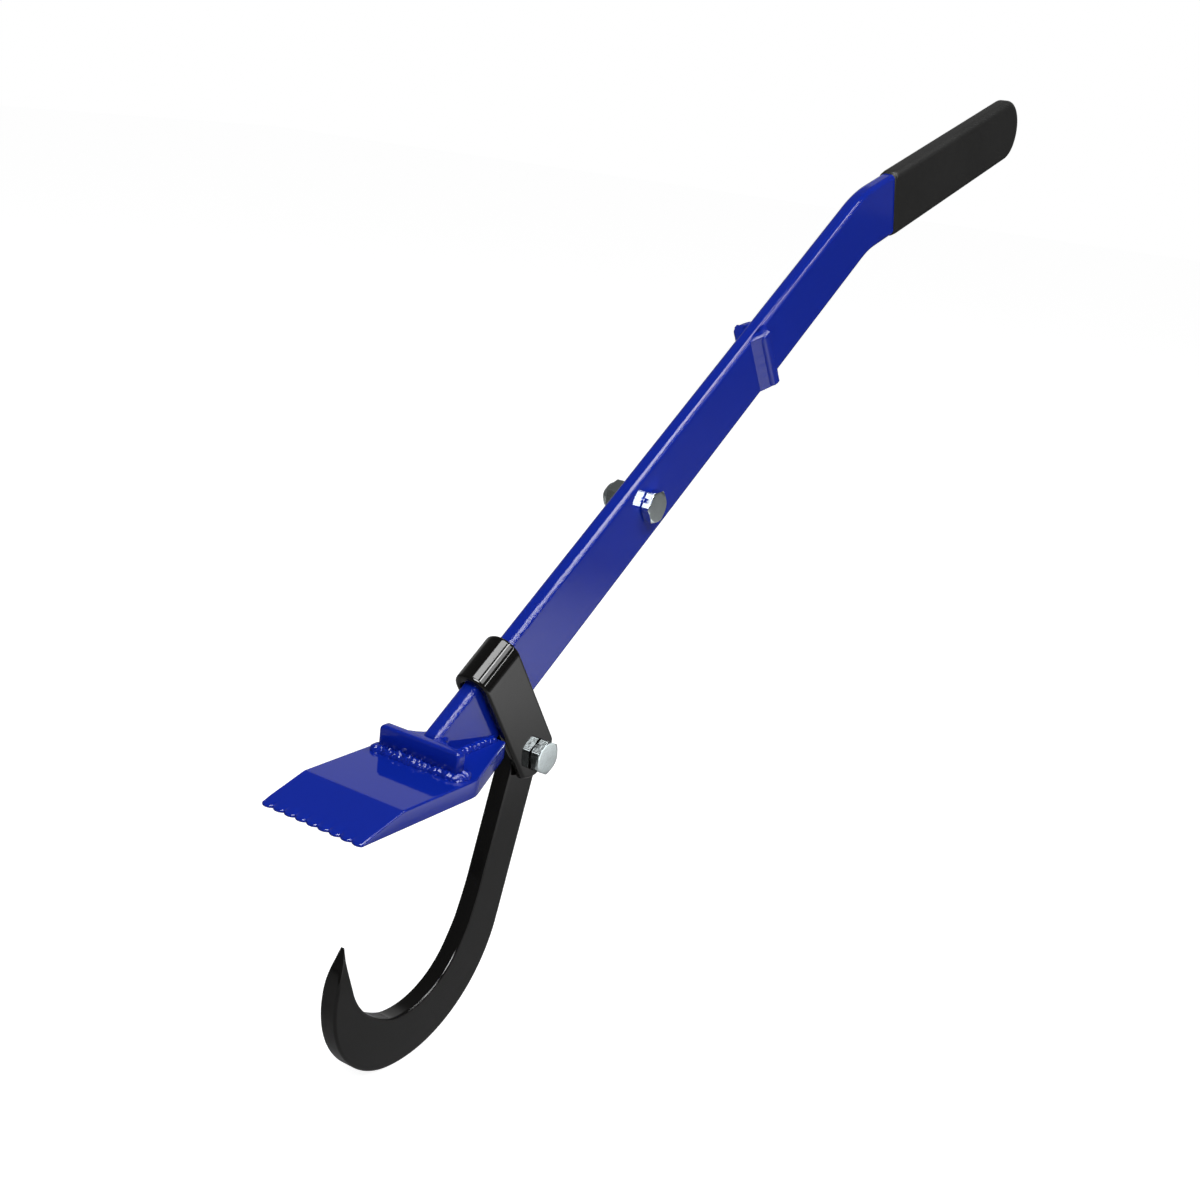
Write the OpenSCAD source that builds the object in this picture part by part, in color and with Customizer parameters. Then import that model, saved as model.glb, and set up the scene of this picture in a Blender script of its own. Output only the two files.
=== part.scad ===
// Felling lever with a toothed blade, a bent flat steel bar and a cant hook
// that swings on a collar sliding along the bar.
// Millimetres. Origin: middle of the blade's flat underside. +X runs from the
// toothed edge towards the handle, +Z out of the blade's top face.

/* [Blade] */
// Length of the blade from the toothed edge to the end of its tail
blade_len = 131.5; // [110:0.5:170]
// Width of the blade
blade_w = 62; // [54:1:90]
// Thickness of the blade behind the bevel
blade_t = 9.5; // [7:0.5:14]
// Length of the bevel behind the toothed edge
bevel_len = 28.5; // [15:0.5:40]
// Thickness left at the toothed edge
edge_t = 1.5; // [0.6:0.1:4]
// Number of rounded teeth along the edge
tooth_count = 9; // [5:1:13]
// Depth of the notches between the teeth
tooth_depth = 1.8; // [0.6:0.1:2.4]
// Length over which the tail narrows
taper_len = 49; // [30:1:56]
// Width of the end of the tail
tail_w = 21; // [20:1:40]

/* [Stop rib] */
// Distance of the rib's front face from the toothed edge
rib_pos = 73.5; // [56:0.5:80]
// Thickness of the rib
rib_t = 6; // [4:0.5:10]
// Height of the rib above the blade
rib_h = 13.5; // [13:0.5:18]
// Length of the rib across the blade
rib_len = 50; // [40:1:53]
// Rounding of the rib's two top corners
rib_round = 2.5; // [1:0.5:5]

/* [Lever bar] */
// Height of the flat bar's section
bar_h = 40; // [34:1:50]
// Width of the flat bar's section
bar_w = 10; // [8:0.5:14]
// Rounding of the bar's four long edges
bar_edge_r = 3; // [1:0.5:3.5]
// Angle between the bar and the blade, in degrees
bar_rise = 34.6; // [31:0.2:38]
// Height of the bar's top edge over the blade where it meets the rib
nose_h = 11; // [9:0.5:12.5]
// Length of the straight bar from the rib to the bend
straight_len = 457; // [430:1:520]
// Bend between the bar and the handle, in degrees
bend_angle = 17.1; // [5:0.1:30]
// Radius of the bend, to the middle of the bar
bend_r = 80; // [40:1:200]
// Length of the handle behind the bend
handle_len = 228; // [150:1:300]

/* [Grip] */
// Wall of the grip sleeve
grip_wall = 1.2; // [1:0.1:3]
// Bare bar between the bend and the sleeve
grip_gap = 25.5; // [1:0.5:50]

/* [Side lugs] */
// Distance of the lugs from the rib, along the bar
lug_pos = 325; // [290:1:380]
// Thickness of a lug along the bar
lug_t = 7.5; // [5:0.5:12]
// Height of a lug
lug_h = 38; // [24:1:38]
// How far a lug stands out from the bar
lug_out = 6.4; // [4:0.2:14]
// Rounding of a lug's outer corners
lug_round = 2.5; // [1:0.5:3.5]

/* [Welds] */
// Leg of the weld beads round the rib and the foot of the bar
weld_leg = 3.5; // [2:0.5:4]
// Length of the weld fill behind the rib, along the bar's nose
nose_fill = 12; // [8:0.5:16]
// How far the weld fill reaches past the bar's sides along the rib
nose_reach = 14; // [8:0.5:14]
// Leg of the weld beads beside the lugs
lug_weld_leg = 5; // [2:0.5:6]

/* [Slide collar] */
// Width of the collar along the bar
collar_w = 30; // [26:1:40]
// Thickness of the collar's strip
collar_t = 5; // [4:0.5:8]
// Clearance between the bar's side and a leg
collar_clear = 0.5; // [0.4:0.1:1.5]
// Clearance between the bar's rounded edges and the arch
crown_clear = 0.2; // [0.1:0.1:0.6]
// Gap between the blade's tail and the collar at rest
collar_rest_gap = 0.6; // [0.3:0.1:5]
// Gap between the bar's underside and the hook's upper end
hook_head_gap = 18; // [14:0.5:30]
// Metal left below the pivot bolt's axis
leg_end = 9; // [8:0.5:16]
// Radius of a leg's rounded end
leg_end_r = 18; // [18:0.5:30]
// How far the pivot lies behind the collar's middle
pivot_shift = 1.5; // [0:0.1:4]

/* [Cant hook] */
// Thickness of the hook
hook_t = 10; // [8:0.5:10.5]
// Width of the hook's shank
hook_w = 24.2; // [20:0.2:28]
// Width of the hook in its belly
belly_w = 27.5; // [24:0.5:34]
// How far the pivot hole lies behind the middle of the shank
hole_shift = 3.3; // [0:0.1:4]
// Length of the straight shank below the pivot
shank_len = 92; // [60:1:130]
// Outer radius of the belly's first stretch
belly_r = 75; // [60:1:100]
// Turn of the belly's first stretch, in degrees
belly_turn = 83; // [60:1:90]
// Outer radius of the throat's stretch
throat_r = 50; // [40:1:60]
// Turn of the throat's stretch, in degrees
throat_turn = 87; // [70:1:100]
// Outer radius of the point's stretch
point_r = 71; // [50:1:100]
// Turn of the point's stretch, in degrees
point_turn = 22; // [10:1:34]
// Length over which the hook narrows to its point
point_len = 92; // [70:1:110]
// Length of the ground faces at the point
grind_len = 16; // [10:1:40]
// Thickness left at the point
point_t = 3.5; // [1:0.5:6]
// Lean of the shank from upright at rest, in degrees
hook_lean = 15.1; // [0:0.1:25]

/* [Bolts] */
// Diameter of the stop bolt and the pivot bolt
bolt_d = 10; // [8:0.5:12]
// Distance across the flats of heads and nuts
hex_af = 17; // [15:0.5:18]
// Height of a bolt head
head_h = 5.6; // [4:0.2:8]
// Height of a lock nut's steel body
nut_h = 9; // [6:0.5:12]
// Height of the rounded collar on a lock nut
nut_rim_h = 2.6; // [1.5:0.1:4]
// Thread standing out past a nut
bolt_out = 1.8; // [0.5:0.1:6]
// Distance of the stop bolt from the rib, along the bar
stop_pos = 197; // [170:1:240]
// Bare thread between the bar and the stop bolt's lock nut
stop_nut_gap = 5; // [0:0.5:8]
// Turn of the stop bolt's head, in degrees
stop_turn = 31.7; // [0:0.1:60]
// Turn of the stop bolt's lock nut, in degrees
stop_nut_turn = 10; // [0:1:60]
// Turn of the pivot bolt's head and lock nut, in degrees
pivot_turn = 60; // [0:0.1:60]
// Radial play of a bolt in its hole
bolt_play = 0.05; // [0.02:0.01:0.1]

/* [Hidden] */
$fn = 96;

paint_blue = [0.07, 0.13, 0.55];
gloss_black = [0.08, 0.08, 0.08];
rubber_black = [0.13, 0.13, 0.14];
zinc = [0.72, 0.76, 0.80];
nylon = [0.85, 0.87, 0.85];

// Reach of cutting shapes beyond what they cut
past = 60;
// Steps in each arc of the hook's outline
arc_steps = 14;
// The handle is this much thinner than the bend, and starts inside it
handle_step = 0.02;
handle_root = 1.5;
// Height of the chamfer round a bolt head
head_chamfer = 0.9;
// The hook's eye lies this far inside the lines of its shank
eye_step = 0.05;

front_x = -blade_len / 2;
tail_x = blade_len / 2;
rib_x = front_x + rib_pos;
rib_back_x = rib_x + rib_t;
tooth_pitch = blade_w / tooth_count;
tooth_r = (tooth_pitch * tooth_pitch / 4 + tooth_depth * tooth_depth) / (2 * tooth_depth);

collar_in = bar_w / 2 + collar_clear;
collar_out = collar_in + collar_t;
// The arch of the collar clears the bar's rounded edges by crown_clear
crown_z = bar_h / 2 - bar_edge_r
    - sqrt(pow(collar_in - bar_edge_r - crown_clear, 2) - pow(bar_w / 2 - bar_edge_r, 2));
// Width of the weld fill beside the bar where it ends
nose_side = 1.5;
// The bar's line through the top back edge of the blade's tail
tail_along = (tail_x - rib_back_x) * cos(bar_rise) - nose_h * sin(bar_rise);
collar_mid = tail_along + collar_rest_gap + collar_w / 2;
pivot_drop = bar_h / 2 + hook_head_gap + hook_w / 2;

hook_back = hook_w / 2 - hole_shift;
hook_front = hook_w / 2 + hole_shift;
hex_r = hex_af / 2 / cos(30);
nut_total = nut_h + nut_rim_h;
stop_seat = bar_w / 2 + stop_nut_gap;
insert_r = hex_af / 2 - 1.6;
// The beads beside a lug stay this far inside its outer face, or further
lug_weld_out = min(lug_weld_leg, lug_out - 1);

// Places a child at a distance along the bar from the rib: local X runs along
// the bar, local Z square to it with 0 in the middle of the bar's height
module on_bar(along) {
    translate([rib_back_x, 0, blade_t + nose_h])
        rotate([0, -bar_rise, 0])
            translate([along, 0, -bar_h / 2])
                children();
}

// Flat bar's section, w across and h high, with rounded corners
module bar_section(w, h, r) {
    square([w - 2 * r, h], center = true);
    square([w, h - 2 * r], center = true);
    for (sx = [-1, 1], sy = [-1, 1])
        translate([sx * (w / 2 - r), sy * (h / 2 - r)])
            circle(r);
}

// Extrudes a section along local X, its first axis across and its second up
module along_x(length) {
    rotate([90, 0, 90])
        linear_extrude(length)
            children();
}

// Extrudes a side view, drawn in X and Z, across the width w
module across_y(w) {
    translate([0, w / 2, 0])
        rotate([90, 0, 0])
            linear_extrude(w)
                children();
}

// Moves a child from the start of the bend to its end
module after_bend() {
    translate([straight_len, 0, -bend_r])
        rotate([0, bend_angle, 0])
            translate([0, 0, bend_r])
                children();
}

module handle_outline(start, grow) {
    end_x = handle_len - bar_h / 2;
    translate([start, -bar_h / 2 - grow])
        square([end_x - start, bar_h + 2 * grow]);
    translate([end_x, 0])
        circle(bar_h / 2 + grow);
}

// The straight stretch of the handle, grown on all sides, from start to its round end
module handle_bar(start, grow) {
    intersection() {
        translate([start, 0, 0])
            along_x(handle_len - start + grow)
                bar_section(bar_w + 2 * grow, bar_h + 2 * grow, bar_edge_r + grow);
        across_y(bar_w + 2 * grow + past)
            handle_outline(start, grow);
    }
}

module blade_outline() {
    body_x = front_x + 1.5 * tooth_depth;
    polygon([[body_x, -blade_w / 2], [tail_x - taper_len, -blade_w / 2],
             [tail_x, -tail_w / 2], [tail_x, tail_w / 2],
             [tail_x - taper_len, blade_w / 2], [body_x, blade_w / 2]]);
    intersection() {
        for (i = [0 : tooth_count - 1])
            translate([front_x + tooth_r, -blade_w / 2 + (i + 0.5) * tooth_pitch])
                circle(tooth_r);
        translate([front_x - 1, -blade_w / 2])
            square([1 + 2 * tooth_depth, blade_w]);
    }
}

module blade_side() {
    polygon([[front_x, 0], [tail_x, 0], [tail_x, blade_t],
             [front_x + bevel_len, blade_t], [front_x, edge_t]]);
}

module blade_plate() {
    color(paint_blue)
        intersection() {
            across_y(blade_w + past)
                blade_side();
            translate([0, 0, -1])
                linear_extrude(blade_t + 2)
                    blade_outline();
        }
}

module rib_outline() {
    half = rib_len / 2 - rib_round;
    translate([-rib_len / 2, 0])
        square([rib_len, rib_h - rib_round]);
    translate([-half, 0])
        square([2 * half, rib_h]);
    for (s = [-1, 1])
        translate([s * half, rib_h - rib_round])
            circle(rib_round);
}

module rib_block() {
    translate([rib_x, 0, blade_t])
        along_x(rib_t)
            rib_outline();
}

module stop_rib() {
    color(paint_blue)
        rib_block();
}

// The bar's foot: cut flat on the blade and upright against the rib
module bar_foot() {
    difference() {
        on_bar(-past)
            along_x(straight_len + past)
                bar_section(bar_w, bar_h, bar_edge_r);
        translate([-past * 4, -past, blade_t - past * 4])
            cube([past * 8, past * 2, past * 4]);
        translate([rib_back_x - past * 4, -past, -past])
            cube([past * 4, past * 2, past * 4]);
    }
}

module lever_bar() {
    color(paint_blue)
        difference() {
            union() {
                bar_foot();
                on_bar(0)
                    translate([straight_len, 0, -bend_r])
                        rotate([0, -90, -90])
                            rotate_extrude(angle = bend_angle)
                                translate([bend_r, 0])
                                    rotate(90)
                                        bar_section(bar_w, bar_h, bar_edge_r);
                on_bar(0)
                    after_bend()
                        handle_bar(-handle_root, -handle_step);
            }
            on_bar(stop_pos)
                bolt_bore(bar_w);
        }
}

module grip_sleeve() {
    color(rubber_black)
        on_bar(0)
            after_bend()
                difference() {
                    handle_bar(grip_gap, grip_wall);
                    handle_bar(0, 0);
                }
}

module lug_outline() {
    reach = bar_w / 2 + lug_out;
    translate([bar_w / 2, -lug_h / 2])
        square([lug_out - lug_round, lug_h]);
    translate([bar_w / 2, -lug_h / 2 + lug_round])
        square([lug_out, lug_h - 2 * lug_round]);
    for (s = [-1, 1])
        translate([reach - lug_round, s * (lug_h / 2 - lug_round)])
            circle(lug_round);
}

module lug_block() {
    on_bar(lug_pos)
        along_x(lug_t)
            lug_outline();
}

module lug_left() {
    color(paint_blue)
        lug_block();
}

module lug_right() {
    color(paint_blue)
        mirror([0, 1, 0])
            lug_block();
}

// Beads down both faces of a lug, joined over its top
module lug_bead() {
    inner = bar_w / 2 - bar_edge_r;
    difference() {
        on_bar(lug_pos)
            translate([0, 0, -lug_h / 2])
                linear_extrude(lug_h / 2 + bar_h / 2)
                    polygon([[-lug_weld_leg, inner], [-lug_weld_leg, bar_w / 2],
                             [0, bar_w / 2 + lug_weld_out],
                             [lug_t, bar_w / 2 + lug_weld_out],
                             [lug_t + lug_weld_leg, bar_w / 2],
                             [lug_t + lug_weld_leg, inner]]);
        lug_block();
        bar_foot();
    }
}

module lug_weld_left() {
    color(paint_blue)
        lug_bead();
}

module lug_weld_right() {
    color(paint_blue)
        mirror([0, 1, 0])
            lug_bead();
}

// Corner between the rib's back and the bar's nose, filled up from the blade
module nose_block() {
    translate([rib_back_x, 0, blade_t])
        linear_extrude(rib_h - rib_round / 2)
            polygon([[0, -bar_w / 2 - nose_reach], [0, bar_w / 2 + nose_reach],
                     [nose_fill, bar_w / 2 + nose_side], [nose_fill, -bar_w / 2 - nose_side]]);
}

// Bead round the rib's foot, mitred at its corners
module rib_weld() {
    color(paint_blue)
        difference() {
            intersection() {
                across_y(rib_len + 2 * weld_leg)
                    translate([rib_x, blade_t])
                        polygon([[-weld_leg, 0], [0, weld_leg], [rib_t, weld_leg],
                                 [rib_t + weld_leg, 0]]);
                translate([rib_x - weld_leg, 0, blade_t])
                    along_x(rib_t + 2 * weld_leg)
                        polygon([[-rib_len / 2 - weld_leg, 0], [-rib_len / 2, weld_leg],
                                 [rib_len / 2, weld_leg], [rib_len / 2 + weld_leg, 0]]);
            }
            rib_block();
            nose_block();
        }
}

// Bead along one side of the bar's foot, from the nose's fill to the tail
module foot_bead() {
    start = rib_back_x + nose_fill;
    difference() {
        translate([start, 0, blade_t])
            along_x(tail_x - weld_leg / 2 - start)
                polygon([[bar_w / 4, 0], [bar_w / 4, weld_leg],
                         [bar_w / 2, weld_leg], [bar_w / 2 + weld_leg, 0]]);
        bar_foot();
    }
}

module foot_weld_left() {
    color(paint_blue)
        foot_bead();
}

module foot_weld_right() {
    color(paint_blue)
        mirror([0, 1, 0])
            foot_bead();
}

module nose_weld() {
    color(paint_blue)
        difference() {
            nose_block();
            bar_foot();
        }
}

// Bore for a bolt across the bar, through a total width w
module bolt_bore(w) {
    rotate([90, 0, 0])
        cylinder(d = bolt_d + 2 * bolt_play, h = w + 4, center = true);
}

// Bolt lying along Y: its head beyond -seat, its nut beyond nut_seat
module hex_bolt(seat, nut_seat, turn) {
    translate([0, -seat, 0])
        rotate([90, 0, 0])
            rotate(turn)
                intersection() {
                    linear_extrude(head_h)
                        circle(hex_r, $fn = 6);
                    rotate(15) {
                        cylinder(r = hex_r + 1, h = head_h - head_chamfer);
                        translate([0, 0, head_h - head_chamfer])
                            cylinder(r1 = hex_r + 0.2, r2 = hex_af / 2 - 0.3, h = head_chamfer);
                    }
                }
    translate([0, -seat, 0])
        rotate([-90, 0, 0])
            cylinder(d = bolt_d, h = seat + nut_seat + nut_total + bolt_out);
}

// Lock nut seated at +seat: hexagon, rounded rim and the recess of its insert
module lock_nut(seat, turn) {
    translate([0, seat, 0])
        rotate([-90, 0, 0])
            difference() {
                union() {
                    linear_extrude(nut_h)
                        rotate(-turn)
                            circle(hex_r, $fn = 6);
                    cylinder(r = hex_af / 2 - 0.3, h = nut_total);
                }
                translate([0, 0, -1])
                    cylinder(d = bolt_d, h = nut_total + 2);
                translate([0, 0, nut_h - 1])
                    cylinder(r = insert_r, h = nut_rim_h);
            }
}

module lock_insert(seat) {
    translate([0, seat + nut_h - 1, 0])
        rotate([-90, 0, 0])
            difference() {
                cylinder(r = insert_r, h = nut_rim_h - 0.4);
                translate([0, 0, -1])
                    cylinder(d = bolt_d, h = nut_rim_h + 2);
            }
}

module stop_bolt() {
    color(zinc)
        on_bar(stop_pos)
            hex_bolt(bar_w / 2, stop_seat, stop_turn);
}

module stop_nut() {
    color(zinc)
        on_bar(stop_pos)
            lock_nut(stop_seat, stop_nut_turn);
}

module stop_nut_insert() {
    color(nylon)
        on_bar(stop_pos)
            lock_insert(stop_seat);
}

module at_pivot() {
    on_bar(collar_mid + pivot_shift)
        translate([0, 0, -pivot_drop])
            children();
}

module pivot_bolt() {
    color(zinc)
        at_pivot()
            hex_bolt(collar_out, collar_out, pivot_turn);
}

module pivot_nut() {
    color(zinc)
        at_pivot()
            lock_nut(collar_out, pivot_turn);
}

module pivot_nut_insert() {
    color(nylon)
        at_pivot()
            lock_insert(collar_out);
}

// The collar's strip seen along the bar: two legs under a round arch
module collar_section(half, low) {
    translate([-half, low])
        square([2 * half, crown_z - low]);
    translate([0, crown_z])
        circle(half);
}

// The collar's legs seen from the side, rounded at their lower ends
module collar_side() {
    bottom = pivot_drop + leg_end;
    square_end = bottom - leg_end_r;
    translate([-collar_w / 2, -square_end])
        square([collar_w, square_end + bar_h + past]);
    intersection() {
        translate([0, -square_end])
            circle(leg_end_r);
        translate([-collar_w / 2, -square_end - leg_end_r])
            square([collar_w, leg_end_r]);
    }
}

module slide_collar() {
    low = -pivot_drop - leg_end - 1;
    color(gloss_black)
        difference() {
            on_bar(collar_mid)
                intersection() {
                    translate([-collar_w / 2, 0, 0])
                        along_x(collar_w)
                            difference() {
                                collar_section(collar_out, low);
                                collar_section(collar_in, low - 1);
                            }
                    across_y(2 * collar_out + past)
                        collar_side();
                }
            at_pivot()
                bolt_bore(2 * collar_out);
        }
}

// One stretch of the hook's outer edge: [x, z, heading, length so far] at each step
function arc(from, r, turn) =
    [for (i = [1 : arc_steps])
        let (h = from[2] - turn * i / arc_steps)
            [from[0] + r * (sin(from[2]) - sin(h)), from[1] + r * (cos(h) - cos(from[2])),
             h, from[3] + r * turn * i / arc_steps * PI / 180]];

function last(list) = list[len(list) - 1];

shank_end = [hook_back, -shank_len, -90, shank_len];
belly = arc(shank_end, belly_r, belly_turn);
throat = arc(last(belly), throat_r, throat_turn);
point = arc(last(throat), point_r, point_turn);
outer_edge = concat([[hook_back, 0, -90, 0], shank_end], belly, throat, point);
hook_run = last(outer_edge)[3];

// Width of the hook at a length s along its outer edge: it swells from the
// shank into the belly and narrows as a parabola to the point
function swell(s) = let (t = min(1, max(0, (s - shank_len * 0.75) / (belly_r * 0.6)))) t * t * (3 - 2 * t);
function narrowing(s) = let (t = max(0, (s - hook_run + point_len) / point_len)) 1 - t * t;
function hook_width(s) = (hook_w + (belly_w - hook_w) * swell(s)) * narrowing(s);

inner_edge = [for (p = outer_edge)
    [p[0] + hook_width(p[3]) * sin(p[2]), p[1] - hook_width(p[3]) * cos(p[2])]];

module hook_outline() {
    polygon(concat(inner_edge,
                   [for (i = [len(outer_edge) - 2 : -1 : 0]) [outer_edge[i][0], outer_edge[i][1]]]));
    intersection() {
        circle(hook_front - eye_step);
        translate([-hook_front, -hook_back])
            square([hook_front + hook_back - eye_step, hook_back + hook_front]);
    }
}

// Ground faces that thin the hook towards its point, on one side
module point_grind(side) {
    tip = last(outer_edge);
    slope = atan((hook_t - point_t) / 2 / grind_len);
    translate([tip[0], side * point_t / 2, tip[1]])
        rotate([0, 90 - tip[2], 0])
            rotate([side * slope, 0, 0])
                translate([-past, side > 0 ? 0 : -past, -grind_len * 1.5])
                    cube([past * 2, past, grind_len * 3]);
}

module cant_hook() {
    color(gloss_black)
        at_pivot()
            rotate([0, bar_rise + hook_lean, 0])
                difference() {
                    across_y(hook_t)
                        hook_outline();
                    bolt_bore(hook_t);
                    point_grind(-1);
                    point_grind(1);
                }
}

blade_plate();
stop_rib();
lever_bar();
lug_left();
lug_right();
grip_sleeve();
slide_collar();
cant_hook();
pivot_bolt();
pivot_nut();
pivot_nut_insert();
stop_bolt();
stop_nut();
stop_nut_insert();
rib_weld();
foot_weld_left();
foot_weld_right();
nose_weld();
lug_weld_left();
lug_weld_right();
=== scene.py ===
"""Felling lever: blue painted blade and bar, black collar and cant hook, zinc bolts.

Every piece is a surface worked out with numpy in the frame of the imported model.
Sizes are in metres. A size here repeats the one the construction uses.
"""

import math

import bmesh
import bpy
import numpy as np
from mathutils import Matrix, Vector


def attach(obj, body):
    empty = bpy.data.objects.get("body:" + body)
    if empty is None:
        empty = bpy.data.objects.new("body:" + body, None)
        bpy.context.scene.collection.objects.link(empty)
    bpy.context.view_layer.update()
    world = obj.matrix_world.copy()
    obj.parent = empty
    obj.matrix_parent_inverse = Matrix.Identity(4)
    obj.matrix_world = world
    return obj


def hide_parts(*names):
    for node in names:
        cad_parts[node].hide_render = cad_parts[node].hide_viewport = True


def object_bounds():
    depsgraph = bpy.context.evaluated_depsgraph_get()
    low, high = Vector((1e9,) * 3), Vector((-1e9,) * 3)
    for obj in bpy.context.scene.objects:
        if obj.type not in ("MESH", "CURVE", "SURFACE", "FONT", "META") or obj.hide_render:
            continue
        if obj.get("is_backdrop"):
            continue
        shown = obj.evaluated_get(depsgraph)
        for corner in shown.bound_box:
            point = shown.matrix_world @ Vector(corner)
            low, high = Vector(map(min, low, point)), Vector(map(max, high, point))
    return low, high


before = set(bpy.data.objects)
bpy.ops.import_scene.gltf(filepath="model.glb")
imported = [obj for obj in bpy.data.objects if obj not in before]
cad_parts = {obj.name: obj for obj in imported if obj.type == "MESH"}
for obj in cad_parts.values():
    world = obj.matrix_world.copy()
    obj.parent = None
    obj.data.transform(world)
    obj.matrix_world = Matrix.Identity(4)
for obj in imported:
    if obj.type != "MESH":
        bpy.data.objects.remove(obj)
CAD_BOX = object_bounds()

bl_info = {
    "name": "Felling lever",
    "version": (1, 0, 0),
    "blender": (4, 5, 0),
    "location": "View3D > Sidebar > Felling lever",
    "description": "Builds a felling lever with a toothed blade and a cant hook",
    "category": "Add Mesh",
}

MM = 0.001
QUARTER = math.pi / 2
SIDES = (("left", 1), ("right", -1))
CREASE = 35  # degrees, on turned and joined pieces
NEAR_AXIS = 0.02 * MM  # where a turned face ends
PLAY = 0.05 * MM  # between a bolt and the edge of its bore
SUNK = 0.4 * MM  # how far a hidden foot goes into what carries it
BEAD_STEP = 0.35 * MM  # from one ring of a weld bead to the next
PAINT_IOR = 1.4


# Sizes and colours


def length(name, description, default):
    """A length property in metres."""
    return bpy.props.FloatProperty(
        name=name, description=description, default=default, min=0.0, unit="LENGTH"
    )


def colour(name, description, default):
    """A linear colour property."""
    return bpy.props.FloatVectorProperty(
        name=name, description=description, default=default, subtype="COLOR", min=0.0, max=1.0
    )


def turn(name, description, degrees):
    """An angle property, its default given in degrees."""
    return bpy.props.FloatProperty(
        name=name, description=description, default=math.radians(degrees), unit="ROTATION"
    )


def level(name, description, default):
    """A plain number property."""
    return bpy.props.FloatProperty(name=name, description=description, default=default, min=0.0)


class BladeSizes(bpy.types.PropertyGroup):
    long: length("Length", "From the toothed edge to the end of the tail", 131.5 * MM)
    wide: length("Width", "Across the blade", 62 * MM)
    thick: length("Thickness", "Behind the bevel", 9.5 * MM)
    bevel: length("Bevel", "Length of the bevel behind the teeth", 28.5 * MM)
    edge: length("Edge", "Thickness left at the teeth", 1.5 * MM)
    tooth_depth: length("Tooth depth", "Depth of the notches between the teeth", 1.8 * MM)
    taper: length("Taper", "Length over which the tail narrows", 49 * MM)
    tail: length("Tail width", "Width of the end of the tail", 21 * MM)
    softness: length("Edge rounding", "Rounding of the blade's edges", 0.9 * MM)
    teeth: bpy.props.IntProperty(name="Teeth", description="Rounded teeth", default=9, min=3)
    rib_at: length("Rib place", "Rib's front face from the toothed edge", 73.5 * MM)
    rib_thick: length("Rib thickness", "Along the blade", 6 * MM)
    rib_high: length("Rib height", "Above the blade", 13.5 * MM)
    rib_long: length("Rib length", "Across the blade", 50 * MM)


class BarSizes(bpy.types.PropertyGroup):
    high: length("Height", "Height of the flat bar's section", 40 * MM)
    wide: length("Width", "Width of the flat bar's section", 10 * MM)
    edge: length("Edge rounding", "Rounding of the bar's long edges", 3 * MM)
    rise: turn("Rise", "Angle between the bar and the blade", 34.6)
    nose: length("Nose", "Height of the bar's top edge where it meets the rib", 11 * MM)
    straight: length("Straight length", "From the rib to the bend", 457 * MM)
    bend: turn("Bend", "Between the bar and the handle", 17.1)
    bend_radius: length("Bend radius", "To the middle of the bar", 80 * MM)
    handle: length("Handle length", "Behind the bend", 228 * MM)
    grip_wall: length("Grip wall", "Wall of the grip sleeve", 1.2 * MM)
    grip_gap: length("Grip gap", "Bare bar between the bend and the sleeve", 25.5 * MM)
    lug_at: length("Lug place", "Distance of the lugs from the rib", 325 * MM)
    lug_thick: length("Lug thickness", "Along the bar", 7.5 * MM)
    lug_high: length("Lug height", "Across the bar", 38 * MM)
    lug_out: length("Lug reach", "Out from the bar's side", 6.4 * MM)


class CollarSizes(bpy.types.PropertyGroup):
    wide: length("Width", "Along the bar", 30 * MM)
    thick: length("Thickness", "Of the strip", 5 * MM)
    clear: length("Side clearance", "Between the bar and a leg", 0.5 * MM)
    crown_clear: length("Crown clearance", "Between the bar's edges and the arch", 0.2 * MM)
    rest_gap: length("Rest gap", "Between the blade's tail and the collar", 0.6 * MM)
    head_gap: length("Hook gap", "Between the bar and the hook's upper end", 18 * MM)
    leg_end: length("Leg end", "Metal below the pivot bolt's axis", 9 * MM)
    end_radius: length("End radius", "Of a leg's rounded end", 18 * MM)
    shift: length("Pivot shift", "Of the pivot behind the collar's middle", 1.5 * MM)


class HookSizes(bpy.types.PropertyGroup):
    thick: length("Thickness", "Of the hook", 10 * MM)
    wide: length("Shank width", "Of the hook's shank", 24.2 * MM)
    belly: length("Belly width", "Of the hook's belly", 27.5 * MM)
    shift: length("Hole shift", "Of the hole behind the shank's middle", 3.3 * MM)
    shank: length("Shank length", "Straight length below the pivot", 92 * MM)
    belly_radius: length("Belly radius", "Outer radius of the belly", 75 * MM)
    throat_radius: length("Throat radius", "Outer radius below the throat", 50 * MM)
    point_radius: length("Point radius", "Outer radius at the point", 71 * MM)
    belly_turn: turn("Belly turn", "Turn of the belly", 83)
    throat_turn: turn("Throat turn", "Turn below the throat", 87)
    point_turn: turn("Point turn", "Turn at the point", 22)
    point_long: length("Point length", "Over which the hook narrows", 92 * MM)
    grind: length("Grind length", "Of the ground faces at the point", 16 * MM)
    point_thick: length("Point thickness", "Left at the point", 3.5 * MM)
    lean: turn("Lean", "Of the shank from upright", 15.1)


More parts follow.
